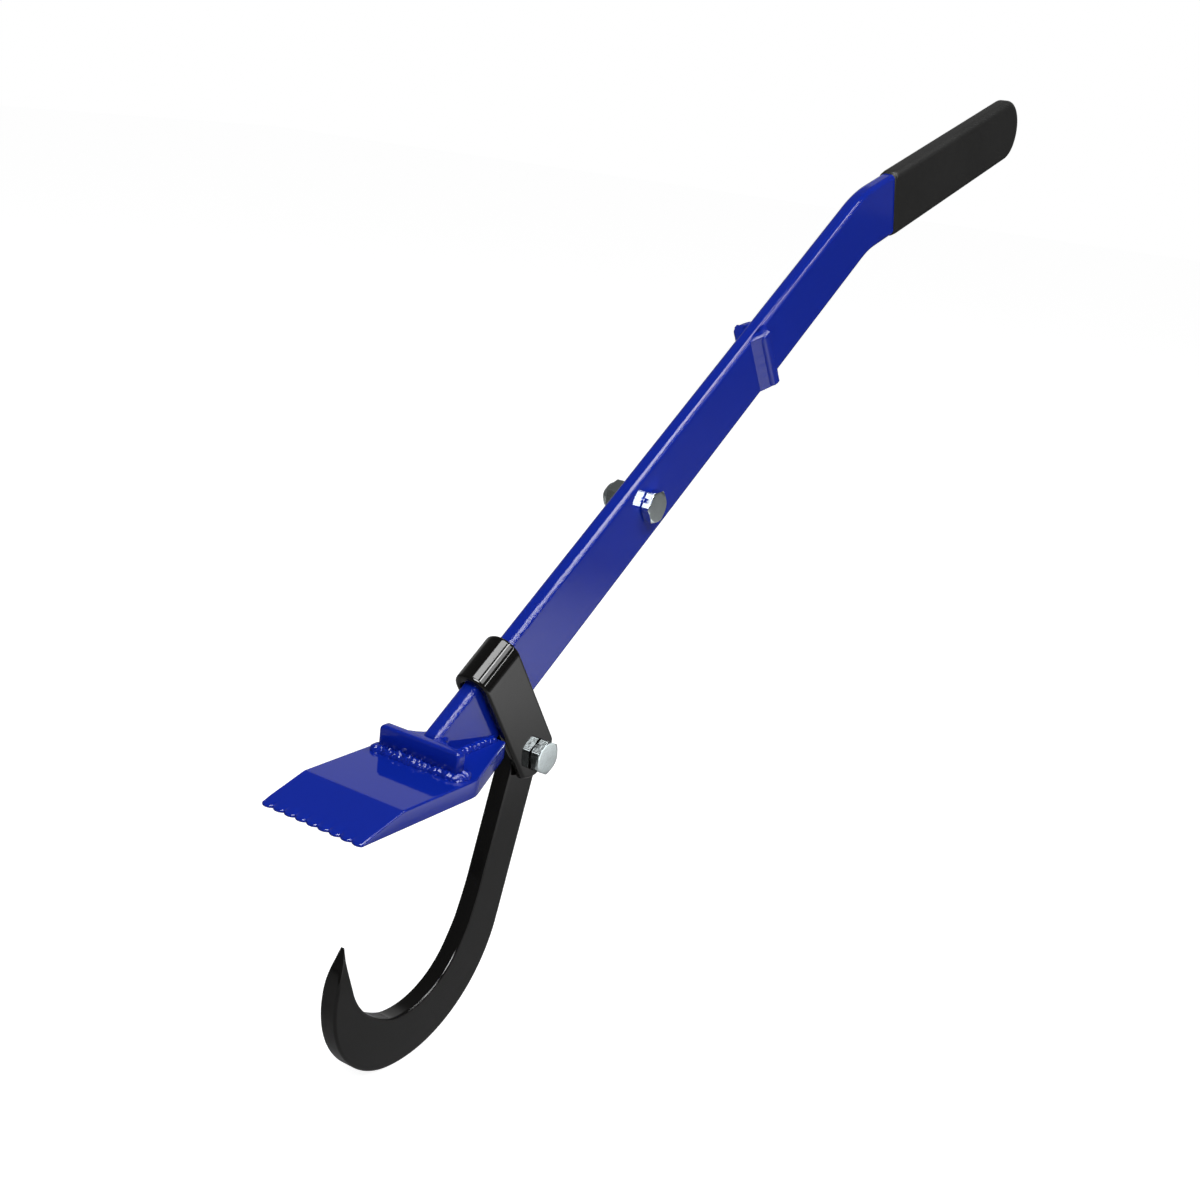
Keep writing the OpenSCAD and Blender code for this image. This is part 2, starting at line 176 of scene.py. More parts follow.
class BoltSizes(bpy.types.PropertyGroup):
    across: length("Diameter", "Of the bolts", 10 * MM)
    flats: length("Across flats", "Of heads and nuts", 17 * MM)
    head: length("Head height", "Of a bolt head", 5.6 * MM)
    nut: length("Nut height", "Of a lock nut's hexagon", 9 * MM)
    rim: length("Rim height", "Of the rounded collar on a lock nut", 2.6 * MM)
    out: length("Thread out", "Thread standing out past a nut", 1.8 * MM)
    pitch: length("Thread pitch", "Of the bolts", 1.5 * MM)
    stop_at: length("Stop bolt place", "From the rib, along the bar", 197 * MM)
    stop_gap: length("Stop nut gap", "Bare thread between the bar and the stop nut", 5 * MM)
    stop_turn: turn("Stop head turn", "Turn of the stop bolt's head", 31.7)
    stop_nut_turn: turn("Stop nut turn", "Turn of the stop bolt's lock nut", 10)
    pivot_turn: turn("Pivot turn", "Turn of the pivot bolt's head and lock nut", 60)


class WeldSizes(bpy.types.PropertyGroup):
    leg: length("Bead leg", "Of the beads round the rib and foot", 3.5 * MM)
    fill: length("Nose fill", "Length of the fill behind the rib", 12 * MM)
    reach: length("Nose reach", "Of the fill past the bar's sides", 14 * MM)
    lug_leg: length("Lug bead leg", "Of the beads beside the lugs", 5 * MM)
    ripple: length("Ripple", "Spacing of the ripples in a bead", 3.1 * MM)


class Finishes(bpy.types.PropertyGroup):
    blue: colour("Blue paint", "Gloss paint of the blade and bar", (0.004, 0.021, 0.340))
    black: colour("Black paint", "Gloss paint of the collar and hook", (0.004, 0.0038, 0.0035))
    zinc: colour("Zinc", "Plating of the bolts and nuts", (0.66, 0.73, 0.74))
    rubber: colour("Rubber", "The grip sleeve", (0.0085, 0.0085, 0.0080))
    nylon: colour("Nylon", "The lock nuts' inserts", (0.55, 0.60, 0.56))
    floor: colour("Floor", "The studio floor", (0.45, 0.45, 0.45))


class StageSettings(bpy.types.PropertyGroup):
    lift: level("Floor lift", "How far the camera sees the floor lifted to white", 0.93)
    pool: level("Floor pool", "Brightness of the pool of light on the floor at the right", 1.55)
    low_air: level("Low air", "Brightness of the air at the horizon", 0.13)
    high_air: level("High air", "Brightness of the air overhead", 0.10)
    glow: level("Glow", "Brightness of the low glow behind the lever", 0.40)
    key: level("Key light", "Power of the key light in watts", 17.0)
    crown: level("Crown light", "Power of the gloss light over the collar, in watts", 30.0)
    spark: level("Spark light", "Power of the gloss light beside the key light, in watts", 34.0)
    bank: level("Bank light", "Power of the gloss light over the bar's near side, in watts", 8.0)
    top: level("Top light", "Power of the top light in watts", 14.0)
    edge: level("Edge light", "Power of the strip that draws bright edges, in watts", 8.0)


class LeverSettings(bpy.types.PropertyGroup):
    blade: bpy.props.PointerProperty(type=BladeSizes)
    bar: bpy.props.PointerProperty(type=BarSizes)
    collar: bpy.props.PointerProperty(type=CollarSizes)
    hook: bpy.props.PointerProperty(type=HookSizes)
    bolts: bpy.props.PointerProperty(type=BoltSizes)
    welds: bpy.props.PointerProperty(type=WeldSizes)
    finish: bpy.props.PointerProperty(type=Finishes)
    stage: bpy.props.PointerProperty(type=StageSettings)


# Places on the lever


class Places:
    """Where things are on the lever, worked out from the settings as the construction does."""

    def __init__(self, settings):
        blade, bar, collar = settings.blade, settings.bar, settings.collar
        self.bar = bar
        self.front = -blade.long / 2
        self.tail = blade.long / 2
        self.rib = self.front + blade.rib_at
        self.rib_back = self.rib + blade.rib_thick
        self.along = np.array([math.cos(bar.rise), 0.0, math.sin(bar.rise)])
        self.up = np.array([-math.sin(bar.rise), 0.0, math.cos(bar.rise)])
        self.heel = np.array([self.rib_back, 0.0, blade.thick + bar.nose])
        self.middle = self.heel - self.up * bar.high / 2
        tail_at = (self.tail - self.rib_back) * math.cos(bar.rise) - bar.nose * math.sin(bar.rise)
        self.collar = tail_at + collar.rest_gap + collar.wide / 2
        self.inner = bar.wide / 2 + collar.clear
        self.outer = self.inner + collar.thick
        reach = self.inner - bar.edge - collar.crown_clear
        self.crown = bar.high / 2 - bar.edge - math.sqrt(reach**2 - (bar.wide / 2 - bar.edge) ** 2)
        self.drop = bar.high / 2 + collar.head_gap + settings.hook.wide / 2
        self.pivot = self.on_bar(self.collar + collar.shift, 0.0, -self.drop)

    def on_bar(self, s, y, n):
        """Distance s along the straight bar from the rib, y across and n above its middle."""
        s, y, n = np.broadcast_arrays(*(np.asarray(v, float) for v in (s, y, n)))
        return (
            self.middle
            + s[..., None] * self.along
            + n[..., None] * self.up
            + y[..., None] * np.array([0.0, 1.0, 0.0])
        )

    def on_bent_bar(self, s, y, n):
        """As on_bar, but s follows the bend: straight, then an arc, then straight.

        In the arc the angle is the distance past its start over the radius, and a point n above the
        middle lies on a circle n larger round the same centre.
        """
        bar = self.bar
        s, y, n = np.broadcast_arrays(*(np.asarray(v, float) for v in (s, y, n)))
        angle = np.clip((s - bar.straight) / bar.bend_radius, 0.0, bar.bend)
        under = np.minimum(s, bar.straight)
        over = np.maximum(s - bar.straight - bar.bend_radius * bar.bend, 0.0)
        radius = bar.bend_radius + n
        x = under + radius * np.sin(angle) + over * np.cos(angle)
        z = radius * np.cos(angle) - bar.bend_radius - over * np.sin(angle)
        return self.on_bar(x, y, z)

    def handle_start(self):
        """Distance along the bent bar at which the handle's straight stretch starts."""
        return self.bar.straight + self.bar.bend_radius * self.bar.bend


# Surfaces


def smooth_step(t):
    """3t^2 - 2t^3 between 0 and 1, level outside."""
    t = np.clip(t, 0.0, 1.0)
    return t * t * (3 - 2 * t)


def round_over(t):
    """A quarter circle, the root of 1 - (1 - t)^2: upright at 0, and level from 1 on."""
    return np.sqrt(1 - (1 - np.clip(t, 0.0, 1.0)) ** 2)


def run_along(path):
    """Distance along a path at each of its points: the running sum of its steps."""
    return np.concatenate([[0], np.cumsum(np.linalg.norm(np.diff(path, axis=0), axis=1))])


def ripple_noise(points, size, seed, octaves=3):
    """A smooth field, mostly in -1..1: a sum of sines of the points along random directions, each
    octave half as large and half as strong."""
    rng = np.random.default_rng(seed)
    waves = 5
    total = np.zeros(points.shape[:-1])
    strength, weight = 1.0, 0.0
    for _ in range(octaves):
        for _ in range(waves):
            direction = rng.normal(size=3)
            direction /= np.linalg.norm(direction)
            phase = rng.uniform(0, math.tau)
            total += strength * np.sin(points @ direction * (math.tau / size) + phase)
        weight += strength * waves**0.5
        size /= 2
        strength /= 2
    return np.clip(total / weight, -1.5, 1.5)


def rounded_loop(wide, high, radius, steps=5, side_points=0):
    """Closed loop round a rectangle with rounded corners, for arrays of widths, heights and radii.

    Each corner is an arc: its centre plus the radius times (cos, sin) of an angle running a
    quarter turn. A point just before and after each arc keeps the flats' shading flat, and
    side_points more are spread along the two upright sides.
    """
    sizes = (np.asarray(v, float)[..., None] for v in (wide, high, radius))
    wide, high, radius = np.broadcast_arrays(*sizes)
    flat_x, flat_y = wide / 2 - radius, high / 2 - radius
    ease_x, ease_y = (np.minimum(0.35 * MM, 0.3 * np.maximum(v, 0)) for v in (flat_x, flat_y))
    quarter = np.linspace(0, QUARTER, steps + 1)
    spread = 1 - 2 * (np.arange(side_points) + 1) / (side_points + 1)
    parts = []
    for k, (sx, sy) in enumerate(((1, 1), (-1, 1), (-1, -1), (1, -1))):
        x = sx * flat_x + radius * np.cos(quarter + k * QUARTER)
        y = sy * flat_y + radius * np.sin(quarter + k * QUARTER)
        on_side, on_top = (0, -sy * ease_y), (-sx * ease_x, 0)
        first, last = (on_side, on_top) if k % 2 == 0 else (on_top, on_side)
        xs = [x[..., :1] + first[0], x, x[..., -1:] + last[0]]
        ys = [y[..., :1] + first[1], y, y[..., -1:] + last[1]]
        if k % 2:
            xs.append(xs[-1] + 0 * spread)
            ys.append(sy * (flat_y - ease_y) * spread)
        parts.append(np.stack([np.concatenate(xs, -1), np.concatenate(ys, -1)], -1))
    return np.concatenate(parts, -2)


def set_smooth(mesh, smooth=True):
    """Shades a mesh's faces smooth or flat."""
    mesh.polygons.foreach_set("use_smooth", np.full(len(mesh.polygons), smooth))


def mark_sharp(piece, degrees):
    """Shades edges sharper than an angle as creases."""
    piece.data.set_sharp_from_angle(angle=math.radians(degrees))


def make_object(name, points, faces, smooth=True):
    """A mesh object at the origin from an array of points and lists of point numbers."""
    mesh = bpy.data.meshes.new(name)
    mesh.from_pydata(np.asarray(points, float).reshape(-1, 3).tolist(), [], faces)
    mesh.validate()
    set_smooth(mesh, smooth)
    mesh.update()
    piece = bpy.data.objects.new(name, mesh)
    bpy.context.scene.collection.objects.link(piece)
    return piece


def points_of(piece):
    """A piece's points as an array (points, 3)."""
    co = np.empty(len(piece.data.vertices) * 3)
    piece.data.vertices.foreach_get("co", co)
    return co.reshape(-1, 3)


def swap_mesh(piece, mesh):
    """Gives a piece another mesh in place of its own."""
    old = piece.data
    piece.data = mesh
    bpy.data.meshes.remove(old)
    mesh.name = piece.name


def outward(piece):
    """Turns the faces of a closed piece outwards: its volume, a sum of dot products of corners and
    their cross products, is negative where they point in."""
    mesh = piece.data
    mesh.calc_loop_triangles()
    tris = np.empty(len(mesh.loop_triangles) * 3, int)
    mesh.loop_triangles.foreach_get("vertices", tris)
    p = points_of(piece)[tris.reshape(-1, 3)]
    if np.einsum("ij,ij->i", p[:, 0], np.cross(p[:, 1], p[:, 2])).sum() < 0:
        mesh.flip_normals()
    return piece


def tube(name, rings, capped=True):
    """A surface through rings of points, array (rings, points, 3): quads between each ring and the
    next and, where it is capped, a flat face at each end."""
    m, n, _ = rings.shape
    i = np.arange(m - 1)[:, None] * n
    j = np.arange(n)[None, :]
    after = (j + 1) % n
    quads = np.stack([i + j, i + after, i + n + after, i + n + j], -1)
    faces = quads.reshape(-1, 4).tolist()
    if capped:
        faces += [list(range(n))[::-1], list(range((m - 1) * n, m * n))]
    return outward(make_object(name, rings, faces))


def weld_seam(piece):
    """Joins points that lie on each other, and turns the faces outwards."""
    work = bmesh.new()
    work.from_mesh(piece.data)
    bmesh.ops.remove_doubles(work, verts=work.verts, dist=1e-6)
    bmesh.ops.recalc_face_normals(work, faces=work.faces)
    work.to_mesh(piece.data)
    work.free()
    set_smooth(piece.data)


def join(piece, other):
    """Adds another object's mesh to a piece."""
    points = points_of(piece)
    faces = [list(p.vertices) for p in piece.data.polygons]
    faces += [[v + len(points) for v in p.vertices] for p in other.data.polygons]
    mesh = bpy.data.meshes.new(piece.name)
    mesh.from_pydata(np.concatenate([points, points_of(other)]).tolist(), [], faces)
    set_smooth(mesh)
    swap_mesh(piece, mesh)
    bpy.data.objects.remove(other)
    mark_sharp(piece, CREASE)


def bore(piece, middle, radius, depth):
    """Cuts a round hole along Y through a piece."""
    angle = np.linspace(0, math.tau, 96, endpoint=False)
    ring = np.stack([radius * np.cos(angle), 0 * angle, radius * np.sin(angle)], -1)
    ends = np.array([-depth / 2, depth / 2])[:, None, None] * np.array([0, 1, 0]) + ring
    cutter = tube("bore_cutter", ends + np.asarray(middle))
    cut = piece.modifiers.new("bore", "BOOLEAN")
    cut.object = cutter
    cut.operation = "DIFFERENCE"
    cut.solver = "EXACT"
    seen = bpy.context.evaluated_depsgraph_get()
    mesh = bpy.data.meshes.new_from_object(piece.evaluated_get(seen))
    piece.modifiers.clear()
    swap_mesh(piece, mesh)
    bpy.data.objects.remove(cutter)
    mark_sharp(piece, 40)


def slab(name, loop, place, thick, radii, steps=5):
    """A plate whose outline's edges are rounded on both faces, each by a radius of its own.

    loop(inset) gives the outline drawn in by an inset, and place(a, b, c) puts a point of the
    outline at height c of the plate. The edge is a quarter circle: the inset is
    radius * (1 - cos) and the height radius * (1 - sin) from the face, for angles from 0 to a
    quarter turn. One more ring a little further in keeps the face's shading flat.
    """
    angle = np.linspace(QUARTER, 0, steps + 1)
    ease = 0.3 * MM
    draw, rise = (np.outer(radii, 1 - wave(angle)) for wave in (np.cos, np.sin))
    insets = np.concatenate([[radii[0] + ease], draw[0], draw[1][::-1], [radii[1] + ease]])
    heights = np.concatenate([[0.0], rise[0], thick - rise[1][::-1], [thick]])
    rings = []
    for inset, height in zip(insets, heights):
        ab = loop(inset)
        rings.append(place(ab[:, 0], ab[:, 1], np.full(len(ab), height)))
    return tube(name, np.array(rings))


def cut_loop(wide, high, corner, least, axis):
    """Outline of a plate for slab: a rounded rectangle cut off along the axis just past its middle
    line, inside what carries it. Its corners keep a least radius."""

    def loop(inset):
        ab = rounded_loop(wide - 2 * inset, high - 2 * inset, max(corner - inset, least))
        ab[:, axis] = np.where(ab[:, axis] < 0, -SUNK, ab[:, axis])
        return ab

    return loop


def bead(
    name, route, legs, ripple, seed, lump, closed=False, belly=1.0, tip=2.2 * MM, sink=0.5 * MM
):
    """A weld bead in the corner between a wall and a floor. Its route is a path on that corner, and
    the directions out along the floor and up the wall.

    Its section runs inside the floor, along it, over a curve and into the wall. The curve blends a
    straight chamfer with a quarter ellipse by the belly. The legs, along the floor and up the
    wall, swell and shrink: leg * (1 + lump * (ripple + noise)), where the ripple is a rounded saw
    along the path, slanted as a torch's pool leaves it. Open ends round off over the tip.
    """
    path, out, up = (np.asarray(v, float) for v in route)
    run = run_along(path)
    theta = np.linspace(0, QUARTER, 13)
    slant, saw_mean = 1.1 * MM, 0.65
    skew = run[:, None] - slant * np.sin(2 * theta)
    saw = np.abs(np.sin(math.pi * skew / ripple)) ** 0.6 - saw_mean
    spots = path[:, None, :] + theta[None, :, None] * MM
    small, large = 6 * MM, 17 * MM
    swell = 1 + lump * (0.7 * saw + 0.8 * ripple_noise(spots, small, seed))
    swell += lump * 0.6 * ripple_noise(path, large, seed + 1, 2)[:, None]
    if not closed:
        to_end, least = np.minimum(run, run[-1] - run) / tip, 0.02**0.5
        swell *= np.maximum(round_over(to_end), least)[:, None]
    legs = (np.broadcast_to(np.asarray(leg, float), len(path))[:, None] for leg in legs)
    floor_leg, wall_leg = (leg * swell for leg in legs)
    straight = theta / QUARTER
    a = floor_leg * (belly * np.cos(theta) + (1 - belly) * (1 - straight))
    b = wall_leg * (belly * np.sin(theta) + (1 - belly) * straight)
    inside = np.full((len(path), 1), -sink)
    a = np.concatenate([inside, a[:, :1], a, inside], 1)[..., None]
    b = np.concatenate([inside, inside, b, b[:, -1:]], 1)[..., None]
    rings = path[:, None, :] + a * out[:, None, :] + b * up
    if not closed:
        return tube(name, rings)
    piece = tube(name, np.concatenate([rings, rings[:1]], 0), capped=False)
    weld_seam(piece)
    return piece


def corner_path(corners, radius, spacing):
    """Evenly spaced points round a closed path of straight lines with eased corners, and their
    tangents. An eased corner is a curve of k from 0 to 1: the corner, plus the radius times
    (1 - k)^2 of the direction back and k^2 of the direction on."""
    corners = np.asarray(corners, float)
    k = np.linspace(0, 1, 9)[:, None]
    points = []
    for last, corner, following in zip(np.roll(corners, 1, 0), corners, np.roll(corners, -1, 0)):
        back, on = ((p - corner) / np.linalg.norm(p - corner) for p in (last, following))
        points.append(corner + radius * ((1 - k) ** 2 * back + k**2 * on))
    points = np.concatenate([*points, points[0][:1]])
    run = run_along(points)
    s = np.linspace(0, run[-1], int(run[-1] / spacing) + 2)
    path = np.stack([np.interp(s, run, points[:, axis]) for axis in range(2)], -1)[:-1]
    tangent = np.roll(path, -1, 0) - np.roll(path, 1, 0)
    return path, tangent / np.linalg.norm(tangent, axis=1)[:, None]


def turned(name, profile, place, segments, shape=None, ring=False):
    """A turned piece: profile (radius, height) pairs spun round an axis, with the radius limited by
    shape(angle) where the piece has flats. A ring's profile closes on itself round a hole.
    place(x, y, z) puts the piece on the lever."""
    if ring:
        profile = profile + profile[:1]
    angle = np.linspace(0, math.tau, segments, endpoint=False)[None, :]
    r, h = (np.array(column)[:, None] + 0 * angle for column in zip(*profile))
    if shape is not None:
        r = np.minimum(r, shape(angle))
    piece = tube(name, place(r * np.cos(angle), r * np.sin(angle), h), capped=not ring)
    if ring:
        weld_seam(piece)
    mark_sharp(piece, CREASE)
    return piece


def hexagon(flats, phase):
    """Distance from the middle to a hexagon's edge at an angle: half the flats over the cosine of
    the angle to the nearest flat, with the corners rounded off."""
    side = math.pi / 3
    farthest = flats / 2 / math.cos(side / 2) - 0.25 * MM

    def reach(angle):
        to_flat = (angle - phase) % side - side / 2
        return np.minimum(flats / 2 / np.cos(to_flat), farthest)

    return reach


# Materials


def feed(tree, entry, value):
    """Sets an input to a value, or links it to another node's output."""
    if isinstance(value, bpy.types.NodeSocket):
        tree.links.new(value, entry)
    else:
        entry.default_value = value


def add(tree, kind, **values):
    """A node with some of its settings and inputs. In an input's name _ stands for a space."""
    node = tree.nodes.new(kind)
    for key, value in values.items():
        title = key.replace("_", " ")
        if title in node.inputs:
            feed(tree, node.inputs[title], value)
        else:
            setattr(node, key, value)
    return node


def pattern(tree, kind, **values):
    """First output of a texture on the piece's own coordinates."""
    where = tree.nodes.get("Texture Coordinate") or add(tree, "ShaderNodeTexCoord")
    place = where.outputs["Object"]
    return add(tree, "ShaderNodeTex" + kind, Vector=place, **values).outputs[0]


def maths(tree, operation, *terms, kind="Math", output=0):
    """Output of a math or vector math node on values or other nodes' outputs."""
    node = add(tree, "ShaderNode" + kind, operation=operation)
    for entry, term in zip(node.inputs, terms):
        feed(tree, entry, term)
    return node.outputs[output]


def ramp(tree, value, low, high, at_low=0.0, at_high=1.0, kind="LINEAR"):
    """A value carried from one range to another, straight or by a smooth step, level outside."""
    ends = {"From_Min": low, "From_Max": high, "To_Min": at_low, "To_Max": at_high}
    node = add(tree, "ShaderNodeMapRange", interpolation_type=kind, Value=value, **ends)
    return node.outputs["Result"]


def mixed(tree, data_type, factor, a, b):
    """Two colours or two numbers mixed by a factor."""
    node = add(tree, "ShaderNodeMix", data_type=data_type, Factor=factor, A=a, B=b)
    return node.outputs["Result"]


def toned(base, part, lift=0.0):
    """A colour times a number, plus a lift."""
    return (*[min(1, c * part + lift) for c in base], 1)


def made_once(store, name, make):
    """What the file's store holds by a name. It is made where it isn't there yet."""
    return store[name] if name in store else make(name)


def start_group(name, inputs, outputs):
    """An empty shader node group with number sockets, and its entry's outputs."""
    group = bpy.data.node_groups.new(name, "ShaderNodeTree")
    kind = "NodeSocketFloat"
    for title, default in inputs.items():
        item = group.interface.new_socket(name=title, in_out="INPUT", socket_type=kind)
        item.default_value = default
        item.min_value = 0.0
    for title in outputs:
        group.interface.new_socket(name=title, in_out="OUTPUT", socket_type=kind)
    return group, add(group, "NodeGroupInput").outputs


def paint_skin(name):
    """Group: height of sprayed paint, the sum of orange peel and of long runs of thicker paint,
    each a noise times its strength. Also a mask of specks of dust, the middles of small cells
    where a wider noise is high."""
    g, given = start_group(name, {"Peel": 0.5, "Flow": 0.5}, ("Height", "Specks"))
    peel = pattern(g, "Noise", Scale=420.0, Detail=2.0, Roughness=0.45)
    peel = maths(g, "MULTIPLY", peel, given["Peel"])
    flow = pattern(g, "Noise", Scale=34.0, Detail=1.5, Roughness=0.4)
    flow = maths(g, "MULTIPLY", flow, given["Flow"])
    cells = ramp(g, pattern(g, "Voronoi", Scale=520.0, Randomness=1.0), 0.10, 0.03)
    few = ramp(g, pattern(g, "Noise", Scale=95.0, Detail=1.0), 0.56, 0.66)
    specks = maths(g, "MULTIPLY", cells, few)
    add(g, "NodeGroupOutput", Height=maths(g, "ADD", peel, flow), Specks=specks)
    return g


def scale_grit(name):
    """Group: height of mill scale and spatter under paint, a fine noise plus small lumps, strong
    where the piece's rough attribute is 1 and gone where it is 0."""
    g, given = start_group(name, {"Amount": 1.0}, ("Height",))
    grit = pattern(g, "Noise", Scale=700.0, Detail=3.0, Roughness=0.6)
    lumps = pattern(g, "Voronoi", feature="SMOOTH_F1", Scale=330.0, Smoothness=0.6)
    marked = add(g, "ShaderNodeAttribute", attribute_name="rough", attribute_type="GEOMETRY")
    height = maths(g, "MULTIPLY", maths(g, "ADD", grit, lumps), marked.outputs["Fac"])
    add(g, "NodeGroupOutput", Height=maths(g, "MULTIPLY", height, given["Amount"]))
    return g


def grouped(tree, make, **values):
    """Outputs of a node group placed in a material with its own values."""
    group = made_once(bpy.data.node_groups, make.__name__, make)
    return add(tree, "ShaderNodeGroup", node_tree=group, **values).outputs


def start_material(name, **values):
    """A material with only its output and its Principled shader, on which some values are set."""
    m = bpy.data.materials.new(name)
    m.use_nodes = True
    tree = m.node_tree
    tree.nodes.clear()
    skin = add(tree, "ShaderNodeBsdfPrincipled", **values)
    add(tree, "ShaderNodeOutputMaterial", Surface=skin.outputs["BSDF"])
    return m, tree, skin.inputs


def tint(tree, skin, base, patches, tones, roughness):
    """Colour and roughness that wander with a noise, between two tones of the base and two
    values. Returns the colour."""
    tone = mixed(tree, "RGBA", patches, *(toned(base, part) for part in tones))
    feed(tree, skin["Base Color"], tone)
    feed(tree, skin["Roughness"], ramp(tree, patches, 0.0, 1.0, *roughness))
    return tone


def emboss(tree, skin, height, distance, strength):
    """Gives a shader the normals of a height."""
    bump = add(tree, "ShaderNodeBump", Height=height, Distance=distance, Strength=strength)
    feed(tree, skin["Normal"], bump.outputs["Normal"])


def gloss_paint(name, base, roughness, flow):
    """Sprayed gloss paint over steel: patches that wander in tone and gloss, pale specks of dust,
    and a height that sums orange peel, runs, dust and the scale on the steel."""
    m, t, skin = start_material(name, IOR=PAINT_IOR)
    surface = grouped(t, paint_skin, Peel=0.12, Flow=flow)
    scale = grouped(t, scale_grit, Amount=2.6)
    patches = pattern(t, "Noise", Scale=18.0, Detail=3.0)
    gloss = (roughness * 0.8, roughness * 1.25)
    tone = tint(t, skin, base, patches, (0.93, 1.07), gloss)
    speck_tone, speck_share, speck_height = toned(base, 1.6, 0.02), 0.35, 0.6
    dust = maths(t, "MULTIPLY", surface["Specks"], speck_share)
    feed(t, skin["Base Color"], mixed(t, "RGBA", dust, tone, speck_tone))
    grains = maths(t, "MULTIPLY", surface["Specks"], speck_height)
    height = maths(t, "ADD", surface["Height"], scale["Height"])
    emboss(t, skin, maths(t, "ADD", height, grains), 0.12 * MM, 0.8)
    return m


def zinc_plate(name, base):
    """Bright zinc plating: a metal with faint cloudy patches and a fine forged grain."""
    m, t, skin = start_material(name, Metallic=1.0)
    cloud = pattern(t, "Noise", Scale=150.0, Detail=4.0, Roughness=0.6)
    tint(t, skin, base, cloud, (0.82, 1.12), (0.09, 0.20))
    fine = pattern(t, "Noise", Scale=900.0, Detail=2.0)
    emboss(t, skin, maths(t, "ADD", fine, cloud), 0.06 * MM, 0.5)
    return m


def dull_rubber(name, base):
    """Dipped rubber: matt, with a fine pebbled grain and slightly polished patches where hands
    rub it."""
    m, t, skin = start_material(name, Specular_IOR_Level=0.25)
    rubbed = pattern(t, "Noise", Scale=22.0, Detail=3.0)
    tint(t, skin, base, rubbed, (0.85, 1.2), (0.44, 0.62))
    grain = pattern(t, "Voronoi", feature="SMOOTH_F1", Scale=1500.0)
    wavy = pattern(t, "Noise", Scale=60.0, Detail=2.0)
    emboss(t, skin, maths(t, "MULTIPLY_ADD", wavy, 3.0, grain), 0.12 * MM, 0.6)
    return m


def milky_nylon(name, base):
    """Nylon insert: slightly translucent pale plastic with faint clouds."""
    m, t, skin = start_material(name, Subsurface_Weight=0.15, Subsurface_Scale=1.0 * MM)
    cloud = pattern(t, "Noise", Scale=400.0, Detail=2.0)
    tint(t, skin, base, cloud, (0.9, 1.0), (0.35, 0.5))
    return m


FINISHES = {
    "blue_paint": (gloss_paint, "blue", {"roughness": 0.055, "flow": 0.3}),
    "black_paint": (gloss_paint, "black", {"roughness": 0.075, "flow": 0.35}),
    "zinc": (zinc_plate, "zinc", {}),
    "grip_rubber": (dull_rubber, "rubber", {}),
    "nylon": (milky_nylon, "nylon", {}),
}


def finish_material(slot_name):
    """The finished material of a record's slot, made once."""
    make, tone, values = FINISHES[slot_name]
    base = tuple(getattr(bpy.context.scene.felling_lever.finish, tone))
    name = slot_name + "_finish"
    return made_once(bpy.data.materials, name, lambda name: make(name, base, **values))


def hand_over(piece, slot_name, body, *nodes):
    """Paints a piece, ties it to its body and lets it stand for its CAD nodes."""
    piece.data.materials.clear()
    piece.data.materials.append(finish_material(slot_name))
    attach(piece, body)
    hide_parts(*nodes)


def mark_rough(piece, values):
    """Stores how rough the steel under the paint is, all over or at each point."""
    layer = piece.data.attributes.new("rough", "FLOAT", "POINT")
    count = len(piece.data.vertices)
    layer.data.foreach_set("value", np.full(count, np.ravel(values), float))


# Pieces


